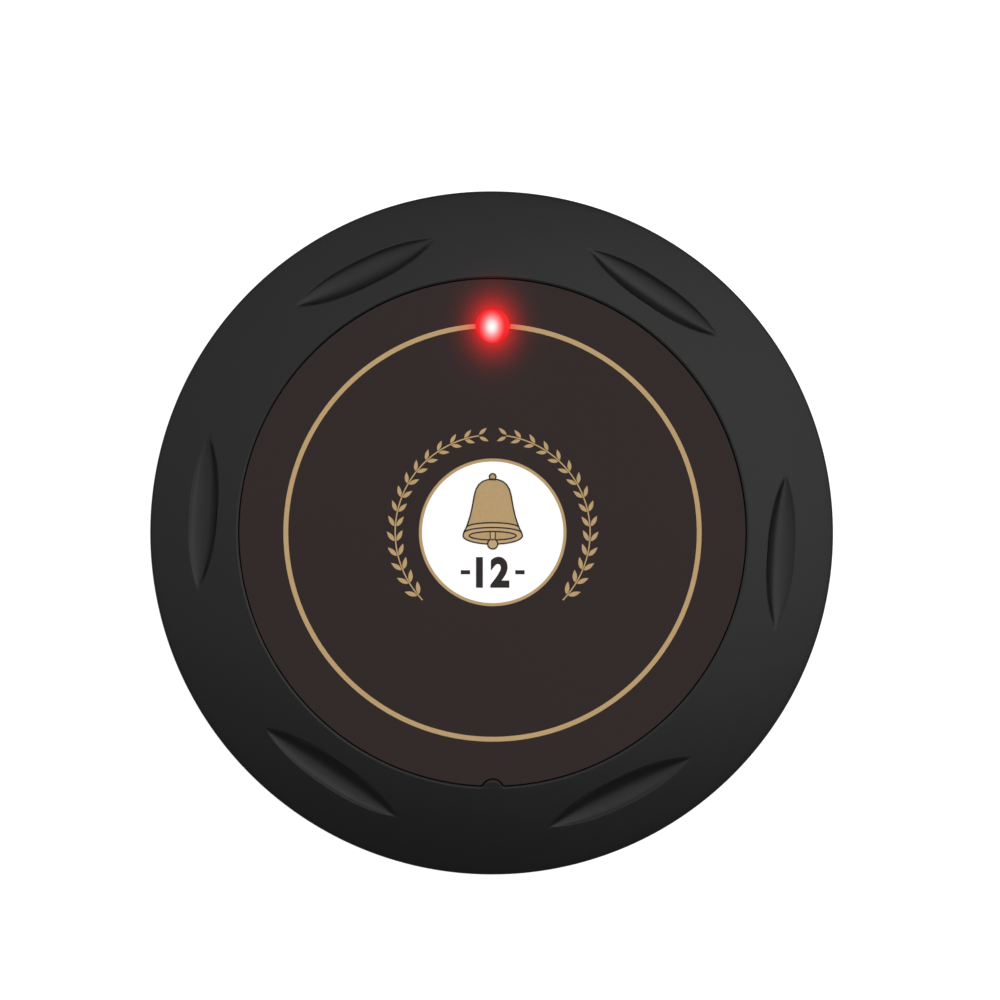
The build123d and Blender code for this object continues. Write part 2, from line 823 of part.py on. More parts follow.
def make_antenna_coil():
    """A helical aerial that lies under the board and stands off it on its two ends."""
    wire = coil_wire_diameter / 2
    length = coil_pitch * coil_turns
    path = Helix(coil_pitch, length, coil_radius)
    profile = Plane(origin=path @ 0, z_dir=path % 0) * RegularPolygon(wire, 6)
    coil = sweep(profile, path=path, is_frenet=True)
    height = board_bottom - coil_board_gap - coil_radius - wire
    coil = Pos(-length / 2, coil_y, height) * Rot(0, 90, 0) * Rot(0, 0, 180) * coil
    for x, y in coil_leg_places():
        coil += disc(wire, height + coil_radius - wire / 2, board_bottom + board_thickness / 2, x, y)
    return coil


def small_parts(places, height):
    """Surface-mounted two-ended parts in a row under the board."""
    return grouped(
        [
            block(small_part_length, small_part_width, board_bottom - height, board_bottom, x, y)
            for x, y in places
        ]
    )


def make_chip_resistors():
    spaced = [index * small_part_pitch for index in range(resistor_count)]
    return small_parts([(resistor_x, resistor_y + step) for step in spaced], resistor_height)


def make_chip_capacitors():
    spaced = [index * small_part_pitch for index in range(capacitor_count)]
    return small_parts([(capacitor_x, capacitor_y + step) for step in spaced], capacitor_height)


# ---------------------------------------------------------------- writing the nodes
makers = {
    "adhesive_pad": make_adhesive_pad,
    "base_cover": make_base_cover,
    "seal_ring": make_seal_ring,
    "top_housing": make_top_housing,
    "button_cap": make_button_cap,
    "face_label": make_face_label,
    "lamp_lens": make_lamp_lens,
    "return_ring": make_return_ring,
    "switch_base": make_switch_base,
    "switch_frame": make_switch_frame,
    "switch_plunger": make_switch_plunger,
    "switch_dome": make_switch_dome,
    "switch_terminals": make_switch_terminals,
    "lamp": make_lamp,
    "lamp_leads": make_lamp_leads,
    "circuit_board": make_circuit_board,
    "board_screws": make_board_screws,
    "battery_holder": make_battery_holder,
    "battery": make_battery,
    "positive_contact": make_positive_contact,
    "negative_contact": make_negative_contact,
    "contact_spring": make_contact_spring,
    "encoder_chip": make_encoder_chip,
    "chip_leads": make_chip_leads,
    "resonator_can": make_resonator_can,
    "antenna_coil": make_antenna_coil,
    "chip_resistors": make_chip_resistors,
    "chip_capacitors": make_chip_capacitors,
}

os.makedirs("parts", exist_ok=True)
for name, maker in makers.items():
    export_step(maker(), f"parts/{name}.step")
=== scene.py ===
import math

import bmesh
import bpy
from mathutils import Matrix, Vector


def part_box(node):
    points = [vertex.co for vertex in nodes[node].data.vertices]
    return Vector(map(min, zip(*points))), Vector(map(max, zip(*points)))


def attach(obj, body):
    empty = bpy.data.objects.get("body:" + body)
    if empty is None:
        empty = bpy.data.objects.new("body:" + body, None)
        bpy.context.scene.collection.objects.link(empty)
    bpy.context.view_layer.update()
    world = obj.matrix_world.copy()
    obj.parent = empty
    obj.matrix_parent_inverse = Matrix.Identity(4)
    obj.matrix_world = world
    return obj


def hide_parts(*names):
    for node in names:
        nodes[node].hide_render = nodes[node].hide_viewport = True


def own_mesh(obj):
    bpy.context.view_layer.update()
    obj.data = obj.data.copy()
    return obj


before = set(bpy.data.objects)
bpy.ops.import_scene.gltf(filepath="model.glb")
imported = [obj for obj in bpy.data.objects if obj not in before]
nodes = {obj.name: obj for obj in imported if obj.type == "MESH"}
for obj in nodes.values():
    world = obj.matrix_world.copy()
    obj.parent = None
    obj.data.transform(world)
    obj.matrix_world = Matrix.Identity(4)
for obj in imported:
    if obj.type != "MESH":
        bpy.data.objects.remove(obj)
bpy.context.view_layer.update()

scene = bpy.context.scene
mm = 0.001

# ---------------------------------------------------------------- camera, table top and lamps
# The button lies on a white table top and is looked at from nearly straight above. A large
# soft lamp hangs high on the right, a weaker one behind on the left, and pale walls all round.
camera_distance = 900.0  # from the housing's widest level
widest_level = 16.1
seen_width = 87.76  # across the picture, at the widest level
seen_centre = (0.686, 2.860)
camera_side_step = (-36.0, -22.0)  # off the line straight above what is seen in the middle


def placed(name, data):
    """An object of that name in the scene."""
    piece = bpy.data.objects.new(name, data)
    scene.collection.objects.link(piece)
    return piece


view_camera = placed("view_camera", bpy.data.cameras.new("view_camera"))
view_camera.data.sensor_width = 36.0
view_camera.data.lens = 36.0 * camera_distance / seen_width
line_of_sight = Vector((*camera_side_step, camera_distance)).normalized()
view_camera.location = (Vector((*seen_centre, widest_level)) + camera_distance * line_of_sight) * mm
picture_right = Vector((0.0, 1.0, 0.0)).cross(line_of_sight).normalized()
picture_up = line_of_sight.cross(picture_right)
picture_axes = Matrix((picture_right, picture_up, line_of_sight)).transposed()
view_camera.rotation_euler = picture_axes.to_euler()
scene.camera = view_camera
scene.view_settings.view_transform = "Standard"


class Value:
    """A node's output. Plain arithmetic with it adds maths nodes to its tree."""

    def __init__(self, tree, socket):
        self.tree = tree
        self.socket = socket

    def __add__(self, other):
        return self.tree.calc("ADD", self, other)

    def __sub__(self, other):
        return self.tree.calc("SUBTRACT", self, other)

    def __rsub__(self, other):
        return self.tree.calc("SUBTRACT", other, self)

    def __mul__(self, other):
        return self.tree.calc("MULTIPLY", self, other)

    def __truediv__(self, other):
        return self.tree.calc("DIVIDE", self, other)

    def __rtruediv__(self, other):
        return self.tree.calc("DIVIDE", other, self)


class NodeTree:
    """Adds nodes to a tree, with their inputs given as numbers or as other nodes' values."""

    def __init__(self, tree):
        self.tree = tree

    def add(self, kind, inputs=None, **settings):
        node = self.tree.nodes.new(kind)
        for label, value in settings.items():
            setattr(node, label, value)
        for label, value in (inputs or {}).items():
            self.feed(node.inputs[label], value)
        return node

    def feed(self, socket, value):
        if isinstance(value, Value):
            self.tree.links.new(value.socket, socket)
        else:
            socket.default_value = value

    def out(self, node, label=0):
        return Value(self, node.outputs[label])

    def outputs(self, node):
        return {socket.name: Value(self, socket) for socket in node.outputs}

    def made(self, kind, inputs=None, **settings):
        """A new node's first output."""
        return self.out(self.add(kind, inputs, **settings))

    def calc(self, operation, *values):
        return self.made("ShaderNodeMath", dict(enumerate(values)), operation=operation)

    def split(self, vector):
        node = self.add("ShaderNodeSeparateXYZ", {0: vector})
        return [self.out(node, axis) for axis in "XYZ"]

    def noise(self, place, scale, detail, roughness=0.5):
        inputs = {"Vector": place, "Scale": scale, "Detail": detail, "Roughness": roughness}
        return self.made("ShaderNodeTexNoise", inputs)


def soft_lamp(name, azimuth, zenith, distance, radius, radiance):
    """A round lamp of that radius in metres, which looks at the button from that direction."""
    lamp = bpy.data.lights.new(name, "AREA")
    lamp.shape = "DISK"
    lamp.size = 2 * radius
    lamp.energy = radiance * (math.pi * radius) ** 2
    holder = placed(name, lamp)
    turn, lean = math.radians(azimuth), math.radians(zenith)
    holder.location = (
        distance * math.sin(lean) * math.cos(turn),
        distance * math.sin(lean) * math.sin(turn),
        distance * math.cos(lean),
    )
    holder.rotation_euler = (0.0, lean, turn)


soft_lamp("key_lamp", azimuth=22, zenith=25.8, distance=1.6, radius=0.66, radiance=2.36)
soft_lamp("back_lamp", azimuth=142, zenith=25.2, distance=1.6, radius=0.81, radiance=1.18)

room = bpy.data.worlds.new("room")
room.use_nodes = True
scene.world = room
walls = NodeTree(room.node_tree)
backdrop = room.node_tree.nodes["Background"]
room_light = 0.26
seen_direct = walls.made("ShaderNodeLightPath")
walls.feed(backdrop.inputs["Strength"], seen_direct * (1.0 - room_light) + room_light)
backdrop.inputs["Color"].default_value = (1.0, 1.0, 1.0, 1.0)

table_half = 3.0
table_mesh = bpy.data.meshes.new("table_top")
table_corners = [(x * table_half, y * table_half, 0.0) for x, y in ((-1, -1), (1, -1), (1, 1), (-1, 1))]
table_mesh.from_pydata(table_corners, [], [(0, 1, 2, 3)])
table_top = placed("table_top", table_mesh)
table_paint = bpy.data.materials.new("table_paint")
table_paint.use_nodes = True
paint = table_paint.node_tree.nodes["Principled BSDF"]
paint.inputs["Base Color"].default_value = (0.50, 0.50, 0.50, 1.0)
paint.inputs["Roughness"].default_value = 0.9
paint.inputs["Specular IOR Level"].default_value = 0.0
paint.inputs["Emission Color"].default_value = (1.0, 1.0, 1.0, 1.0)
paint.inputs["Emission Strength"].default_value = 0.88
table_mesh.materials.append(table_paint)

# ---------------------------------------------------------------- adhesive pad
# A disc of closed-cell foam tape under the base, sticky on both faces. Two windows are
# punched in it, so that fixing screws can be used instead. It is die-cut from sheet.


class Finish(NodeTree):
    """A material whose shader is fed by its own nodes."""

    def __init__(self, name, **constants):
        self.material = bpy.data.materials.new(name)
        self.material.use_nodes = True
        super().__init__(self.material.node_tree)
        self.shader = self.tree.nodes["Principled BSDF"]
        for label, value in constants.items():
            self.shader.inputs[label.replace("_", " ")].default_value = value

    def place(self):
        return self.out(self.add("ShaderNodeTexCoord"), "Object")

    def cells(self, place, scale):
        """The open cells of a foam."""
        return self.made("ShaderNodeTexVoronoi", {"Vector": place, "Scale": scale})

    def ramp(self, share, stops):
        """Colours along a share from 0 to 1."""
        node = self.add("ShaderNodeValToRGB", {"Fac": share})
        bands = node.color_ramp.elements
        while len(bands) < len(stops):
            bands.new(0.5)
        for band, (position, colour) in zip(bands, stops):
            band.position = position
            band.color = (*colour, 1.0)
        return self.out(node)

    def shade(self, **sources):
        for label, value in sources.items():
            self.feed(self.shader.inputs[label.replace("_", " ")], value)

    def toned(self, share, dark, light, low=0.3, high=0.7):
        """A colour between two near tones."""
        return self.ramp(share, [(low, dark), (high, light)])

    def mixed(self, share, first, second):
        """One colour at a share of 0, another at 1."""
        node = self.add("ShaderNodeMix", data_type="RGBA")
        sockets = {socket.identifier: socket for socket in (*node.inputs, *node.outputs)}
        for label, value in (("Factor_Float", share), ("A_Color", first), ("B_Color", second)):
            self.feed(sockets[label], value)
        return Value(self, sockets["Result_Color"])

    def relief(self, height, depth):
        """Bump of that depth in metres between a height of 0 and of 1."""
        self.shade(Normal=self.made("ShaderNodeBump", {"Height": height, "Distance": depth}))

    def dress(self, *names):
        """Gives the finish to CAD nodes or to pieces."""
        for name in names:
            piece = nodes.get(name) or bpy.data.objects[name]
            piece.data.materials.clear()
            piece.data.materials.append(self.material)


def point_outward(piece, sharp_angle=35.0):
    """Closes the seams, turns all faces outward and shades them smooth up to an angle."""
    shape = bmesh.new()
    shape.from_mesh(piece.data)
    bmesh.ops.remove_doubles(shape, verts=shape.verts, dist=5e-7)
    bmesh.ops.recalc_face_normals(shape, faces=shape.faces)
    for face in shape.faces:
        face.smooth = True
    shape.to_mesh(piece.data)
    shape.free()
    piece.data.set_sharp_from_angle(angle=math.radians(sharp_angle))
    return piece


def circle(radius, x=0.0, y=0.0, count=180, start=0.0):
    return [
        (
            x + radius * math.cos(math.radians(start + 360 * step / count)),
            y + radius * math.sin(math.radians(start + 360 * step / count)),
        )
        for step in range(count)
    ]


def settled(carrier):
    """The plain mesh that a carrier's curve, text or modifier makes. The carrier is removed."""
    made = bpy.data.meshes.new_from_object(carrier.evaluated_get(bpy.context.evaluated_depsgraph_get()))
    bpy.data.objects.remove(carrier)
    return made


def punched(name, loops, bottom, top, finish, rounding=0.0):
    """A flat piece cut to closed loops in millimetres, holes included, between two heights."""
    outline = bpy.data.curves.new(name, "CURVE")
    outline.dimensions = "2D"
    outline.fill_mode = "BOTH"
    outline.extrude = ((top - bottom) / 2 - rounding) * mm
    outline.bevel_depth = rounding * mm
    outline.bevel_resolution = 2
    outline.offset = -rounding * mm
    for loop in loops:
        spline = outline.splines.new("POLY")
        spline.points.add(len(loop) - 1)
        spline.points.foreach_set("co", [part for x, y in loop for part in (x * mm, y * mm, 0.0, 1.0)])
        spline.use_cyclic_u = True
    flat = settled(placed(name + "_carrier", outline))
    flat.transform(Matrix.Translation((0.0, 0.0, (bottom + top) / 2 * mm)))
    flat.materials.clear()
    flat.materials.append(finish.material)
    piece = point_outward(placed(name, flat))
    for face in flat.polygons:
        face.use_smooth = abs(face.normal.z) < 0.99
    return piece


pad_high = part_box("adhesive_pad")[1]
pad_radius, pad_top = pad_high.x / mm, pad_high.z / mm
window_radius, window_spacing, cut_rounding = 4.0, 32.0, 0.08
windows = [circle(window_radius, side * window_spacing / 2, count=72) for side in (-1, 1)]

foam_tape = Finish("foam_tape", Roughness=0.92)
foam_place = foam_tape.place()
tape_cells = foam_tape.cells(foam_place, 5200.0)
tape_shade = tape_cells * 0.55 + foam_tape.noise(foam_place, 260.0, 3.0) * 0.5
foam_tape.shade(Base_Color=foam_tape.toned(tape_shade, (0.50, 0.51, 0.52), (0.72, 0.73, 0.73), 0.15, 0.75))
foam_tape.relief(tape_cells, 3e-5)

foam_pad = punched("foam_pad", [circle(pad_radius), *windows], 0.0, pad_top, foam_tape, cut_rounding)
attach(foam_pad, "base")
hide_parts("adhesive_pad")

# ---------------------------------------------------------------- base cover
# The black ABS bottom that is stuck or screwed to the table. Its collar carries three
# bayonet lugs with end stops. It is injection moulded, with a fine spark-eroded grain.


class Effect(NodeTree):
    """A shader node group with named inputs and outputs."""

    def __init__(self, name, inputs, outputs):
        super().__init__(bpy.data.node_groups.new(name, "ShaderNodeTree"))
        face = self.tree.interface
        face.new_socket("Place", in_out="INPUT", socket_type="NodeSocketVector")
        for label, value in inputs.items():
            face.new_socket(label, in_out="INPUT", socket_type="NodeSocketFloat").default_value = value
        for label in outputs:
            face.new_socket(label, in_out="OUTPUT", socket_type="NodeSocketFloat")
        self.given = self.outputs(self.add("NodeGroupInput"))
        self.result = self.add("NodeGroupOutput").inputs

    def close(self, **results):
        for label, value in results.items():
            self.feed(self.result[label], value)

    def on(self, finish, **values):
        """Places the group in a finish and returns its outputs."""
        inputs = {"Place": finish.place()}
        inputs.update({label.replace("_", " "): value for label, value in values.items()})
        return finish.outputs(finish.add("ShaderNodeGroup", inputs, node_tree=self.tree))


mould_grain = Effect("mould_grain", {"Grain": 9000.0, "Patches": 55.0}, ("Relief", "Sheen", "Lift"))
grain = mould_grain.noise(mould_grain.given["Place"], mould_grain.given["Grain"], 1.5)
patches = mould_grain.noise(mould_grain.given["Place"], mould_grain.given["Patches"], 4.0, 0.6)
mould_grain.close(Relief=grain, Sheen=patches - 0.5, Lift=grain * 0.6 + patches * 0.4)


def moulded(name, dark, light, roughness, depth=3e-6, spread=0.10, **more):
    """A moulded plastic: two near tones, a fine grain and slightly uneven gloss."""
    finish = Finish(name, **more)
    outputs = mould_grain.on(finish)
    finish.shade(
        Base_Color=finish.toned(outputs["Lift"], dark, light),
        Roughness=outputs["Sheen"] * spread + roughness,
    )
    finish.relief(outputs["Relief"], depth)
    return finish


cover_abs = moulded("cover_abs", (0.006, 0.006, 0.0065), (0.011, 0.011, 0.0115), 0.5, 5e-6, IOR=1.4)
cover_abs.dress("base_cover")

# ---------------------------------------------------------------- seal ring
# A red-brown silicone ring in the groove of the base, which keeps water out where the
# housing turns. It is pressed in a two-part mould, so a fine flash line runs round it.


class Recipe(NodeTree):
    """A Geometry Nodes tree with named sizes. It is run on a mesh and leaves a plain mesh."""

    def __init__(self, name, sizes):
        super().__init__(bpy.data.node_groups.new(name, "GeometryNodeTree"))
        face = self.tree.interface
        face.new_socket("Geometry", in_out="INPUT", socket_type="NodeSocketGeometry")
        self.identifiers = {}
        for label, value in sizes.items():
            kind = "NodeSocketInt" if isinstance(value, int) else "NodeSocketFloat"
            socket = face.new_socket(label, in_out="INPUT", socket_type=kind)
            self.identifiers[label] = socket.identifier
        paint = face.new_socket("Material", in_out="INPUT", socket_type="NodeSocketMaterial")
        self.identifiers["Material"] = paint.identifier
        face.new_socket("Geometry", in_out="OUTPUT", socket_type="NodeSocketGeometry")
        self.given = self.outputs(self.add("NodeGroupInput"))
        self.sizes = sizes

    def position(self):
        """The x, y and z of each vertex."""
        return self.split(self.made("GeometryNodeInputPosition"))

    def vector(self, x, y, z):
        return self.made("ShaderNodeCombineXYZ", {"X": x, "Y": y, "Z": z})

    def on_circle(self, turn, radius, height=0.0):
        """The place at that turn in radians and at that radius."""
        x, y = (radius * self.calc(wave, turn) for wave in ("COSINE", "SINE"))
        return self.vector(x, y, height)

    def rolled(self, angle, radius, height, flat=None):
        """Moves each vertex to the place that its angle, radius and height give."""
        place = self.on_circle(self.calc("RADIANS", angle), radius, height)
        return self.merged(self.moved(flat or self.given["Geometry"], place))

    def moved(self, geometry, place):
        return self.made("GeometryNodeSetPosition", {"Geometry": geometry, "Position": place})

    def merged(self, geometry):
        """Joins vertices that lie within half a micrometre."""
        return self.made("GeometryNodeMergeByDistance", {"Geometry": geometry, "Distance": 0.0005})

    def shifted(self, geometry, x, y, z):
        inputs = {"Geometry": geometry, "Translation": self.vector(x, y, z)}
        return self.made("GeometryNodeTransform", inputs)

    def repeated(self, points, instance, turn, scale=(1.0, 1.0, 1.0)):
        """The instance at each point, turned and scaled."""
        inputs = {"Points": points, "Instance": instance, "Rotation": turn, "Scale": scale}
        return self.made("GeometryNodeInstanceOnPoints", inputs)

    def close(self, geometry):
        """Ends the tree: from millimetres to metres, real meshes and their material."""
        metres = self.made("GeometryNodeTransform", {"Geometry": geometry, "Scale": (mm, mm, mm)})
        real = self.made("GeometryNodeRealizeInstances", {"Geometry": metres})
        inputs = {"Geometry": real, "Material": self.given["Material"]}
        painted = self.made("GeometryNodeSetMaterial", inputs)
        self.feed(self.add("NodeGroupOutput").inputs["Geometry"], painted)

    def run(self, name, mesh, finish, sharp_angle=35.0, **changed):
        carrier = placed(name + "_carrier", mesh)
        modifier = carrier.modifiers.new(name, "NODES")
        modifier.node_group = self.tree
        changed = {label.replace("_", " "): value for label, value in changed.items()}
        for label, value in {**self.sizes, **changed, "Material": finish.material}.items():
            modifier[self.identifiers[label]] = value
        return point_outward(placed(name, settled(carrier)), sharp_angle)


def between(first, last, count):
    return [first + (last - first) * step / (count - 1) for step in range(count)]


def unrolled(name, section, angles, shares=()):
    """A closed section repeated over the angles, each vertex being angle, radius, height."""
    rows = len(section)
    vertices = [(angle, point[0], point[1]) for angle in angles for point in section]
    faces = []
    for column in range(len(angles) - 1):
        for row in range(rows):
            low, high = column * rows + row, column * rows + (row + 1) % rows
            faces.append((low, high, high + rows, low + rows))
    if angles[-1] - angles[0] < 360.0:
        last = (len(angles) - 1) * rows
        faces.append(tuple(range(rows)))
        faces.append(tuple(last + row for row in reversed(range(rows))))
    mesh = bpy.data.meshes.new(name)
    mesh.from_pydata(vertices, [], faces)
    for place, label in enumerate(shares, start=2):
        share = mesh.attributes.new(label, "FLOAT", "POINT")
        share.data.foreach_set("value", [point[place] for _ in angles for point in section])
    return mesh


turned = Recipe("turned_and_repeated", {"Count": 1, "Circle": 0.0, "First Angle": 0.0})


def make_turned(recipe):
    """Rolls a section up about its own axis, moves it out to a circle and repeats it there."""
    given = recipe.given
    out = recipe.shifted(recipe.rolled(*recipe.position()), given["Circle"], 0.0, 0.0)
    spots = recipe.made("GeometryNodePoints", {"Count": given["Count"]})
    index = recipe.made("GeometryNodeInputIndex")
    turn = recipe.calc("RADIANS", index * (360.0 / given["Count"]) + given["First Angle"])
    recipe.close(recipe.repeated(spots, out, recipe.vector(0.0, 0.0, turn)))


make_turned(turned)


def full_turn(steps):
    return between(0.0, 360.0, steps + 1)


seal_low, seal_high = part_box("seal_ring")
seal_half = (seal_high.z - seal_low.z) / 2 / mm
seal_middle = seal_high.x / mm - seal_half
seal_level = (seal_high.z + seal_low.z) / 2 / mm
flash_rise, seal_steps = 0.03, 32


def seal_section():
    """A circle of points, two of which stand out as the flash line's two sides."""
    points = []
    for step in range(seal_steps):
        turn = 2 * math.pi * step / seal_steps
        reach = seal_half if step % (seal_steps // 2) == 0 else seal_half - flash_rise
        points.append((seal_middle + reach * math.cos(turn), seal_level + reach * math.sin(turn)))
    return points


silicone = moulded("silicone", (0.34, 0.060, 0.035), (0.46, 0.10, 0.06), 0.5, 2e-6, Subsurface_Weight=0.15)
silicone.shader.inputs["Subsurface Radius"].default_value = (0.0008, 0.0003, 0.0002)
seal_mesh = unrolled("seal", seal_section(), full_turn(360))
pressed_seal = turned.run("pressed_seal", seal_mesh, silicone, sharp_angle=60.0)
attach(pressed_seal, "seal")
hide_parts("seal_ring")

# ---------------------------------------------------------------- upper housing
# The black ABS shell that the fingers turn: a crowned ring round the button's well, six
# finger grooves in the crown and a small key that keeps the button from turning. It is
# injection moulded in one piece with the bayonet lugs and the screw bosses on its inside.
housing_low, housing_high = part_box("top_housing")
body_radius = housing_high.x / mm
crown_top = housing_high.z / mm
skirt_bottom = housing_low.z / mm
crown_width, crown_drop, crown_start_slope = 7.71, 1.43, 6.4
edge_radius, rim_radius, rim_width, rim_slope = 0.2, 0.05, 0.18, 18.0
key_angle, key_span, key_reach = 270.0, 4.0, 0.64
key_radius, key_fillet = 0.95, 0.35  # of its round end and of its feet
side_lean, wall_thickness, crown_wall, well_wall = 1.1, 1.7, 2.2, 1.35
skirt_chamfer, lead_in, inner_chamfer = 0.3, 0.15, 0.4
well_levels = (13.95, 14.6, 15.6, 16.4, 16.9)  # rows on the well's wall
groove_band = (24.0, 26.9)  # radii between which the crown's rows are fine
key_fade = 1.6  # how far out of the rim the crown still gives way to the key
well_radius = body_radius - crown_width
skirt_radius = body_radius - side_lean
crown_edge = crown_top - crown_drop
bore_radius = skirt_radius - wall_thickness


def circle_through(start, end, slope):
    """Centre and radius of the arc from start to end that leaves start at that slope."""
    chord = (end[0] - start[0], end[1] - start[1])
    radius = math.hypot(*chord) / (2 * math.sin(math.atan2(chord[1], chord[0]) - slope))
    return (start[0] - radius * math.sin(slope), start[1] + radius * math.cos(slope)), abs(radius)


def arc_points(centre, radius, first, last, count):
    return [
        (centre[0] + radius * math.cos(turn), centre[1] + radius * math.sin(turn))
        for turn in between(first, last, count)
    ]


crown_slope = math.radians(-crown_start_slope)
key_tip = (well_radius - key_reach, crown_top)
crown_centre, crown_arc = circle_through(key_tip, (body_radius, crown_edge), crown_slope)
side_foot = (skirt_radius, skirt_bottom + skirt_chamfer)
side_centre, side_arc = circle_through((body_radius, crown_edge), side_foot, math.radians(-90))


def crown_height(radius):
    return crown_centre[1] + math.sqrt(crown_arc**2 - (radius - crown_centre[0]) ** 2)


def edge_circle():
    """Centre of the outer edge's rounding, which touches the crown and the side from inside."""
    reach_crown, reach_side = crown_arc - edge_radius, side_arc - edge_radius
    gap_x, gap_z = side_centre[0] - crown_centre[0], side_centre[1] - crown_centre[1]
    apart = math.hypot(gap_x, gap_z)
    along = (reach_crown**2 - reach_side**2 + apart**2) / (2 * apart)
    across = math.sqrt(reach_crown**2 - along**2)
    return max(
        (
            crown_centre[0] + (along * gap_x + side * across * gap_z) / apart,
            crown_centre[1] + (along * gap_z - side * across * gap_x) / apart,
        )
        for side in (-1, 1)
    )


def housing_section():
    """The shell's section, each point with its share of the key's and of the grooves' relief."""
    wall = [(well_radius, height) for height in well_levels]
    rim_x, rim_lean = well_radius + rim_width, math.radians(rim_slope)
    bevel_x = well_radius + rim_radius * (1 - math.sin(rim_lean))
    bevel_rows = between(bevel_x, rim_x - 0.02, 4)
    bevel = [(x, crown_height(rim_x) - (rim_x - x) * math.tan(rim_lean)) for x in bevel_rows]
    rim_centre = (well_radius + rim_radius, bevel[0][1] - rim_radius * math.cos(rim_lean))
    wall += arc_points(rim_centre, rim_radius, math.pi, math.pi / 2 + rim_lean, 7)[:-1] + bevel
    points = [(radius, height, 1.0, float(height > well_levels[-1])) for radius, height in wall]
    edge_centre = edge_circle()
    crown_turn = math.atan2(edge_centre[1] - crown_centre[1], edge_centre[0] - crown_centre[0])
    side_turn = math.atan2(edge_centre[1] - side_centre[1], edge_centre[0] - side_centre[0])
    crown_end = edge_centre[0] + edge_radius * math.cos(crown_turn)
    radii = [rim_x + 0.03, rim_x + 0.1] + between(rim_x + 0.25, groove_band[0] - 0.2, 5)
    radii += between(*groove_band, 50) + between(groove_band[1] + 0.3, crown_end, 8)
    for radius in radii:
        key_share = max(0.0, 1.0 - (radius - rim_x) / key_fade)
        points.append((radius, crown_height(radius), key_share, 1.0))
    outside = arc_points(edge_centre, edge_radius, crown_turn, side_turn, 8)[1:]
    foot_turn = math.atan2(side_foot[1] - side_centre[1], side_foot[0] - side_centre[0])
    outside += arc_points(side_centre, side_arc, side_turn, foot_turn, 14)[1:]
    roof_edge, roof_top = crown_edge - crown_wall, crown_top - crown_wall
    tube_radius = well_radius + well_wall
    inside = [
        (skirt_radius - skirt_chamfer, skirt_bottom),
        (bore_radius + lead_in, skirt_bottom),
        (bore_radius, skirt_bottom + lead_in),
        (bore_radius, roof_edge - inner_chamfer),
        (bore_radius - inner_chamfer, roof_edge),
        (tube_radius + skirt_chamfer, roof_top),
        (tube_radius, roof_top - skirt_chamfer),
        (tube_radius, well_levels[0]),
    ]
    return points + [(radius, height, 0.0, 0.0) for radius, height in outside + inside]


key_start, key_end = key_angle - key_span, key_angle + key_span
housing_angles = between(0.0, key_start, 533) + between(key_start, key_end, 81)[1:]
housing_angles += between(key_end, 360.0, 173)[1:]

# a groove is a spindle in plan; a ledge and a short slope lead down to its lowest line from
# the button's side, and a long slope that steepens to a lip leads up to the outer side
groove_length, groove_width, groove_inset = 13.7, 2.42, 4.6
key_foot = math.sqrt((key_radius + key_fillet) ** 2 - (key_reach - key_radius - key_fillet) ** 2)

grooved_shell = Recipe(
    "grooved_shell",
    {
        "Groove Count": 6,
        "First Groove": -3.9,
        "Groove Circle": body_radius - groove_inset,
        "Half Length": groove_length / 2,
        "Half Width": groove_width / 2,
        "Fullness": 2.4,
        "Ledge": 0.135,
        "Ledge Slope": 1.9,
        "Ledge Blend": 0.04,
        "Near Slope": 0.37,
        "Far Slope": 0.13,
        "Far Bow": 0.09,
        "Far Lip": 0.07,
        "Floor Blend": 0.27,
        "Edge Blend": 0.05,
        "Crown Centre": crown_centre[0],
        "Crown Arc": crown_arc,
        "Well Radius": well_radius,
        "Key Angle": key_angle,
        "Key Radius": key_radius,
        "Key Reach": key_reach,
        "Key Foot": key_foot,
        "Key Fillet": key_fillet,
    },
)


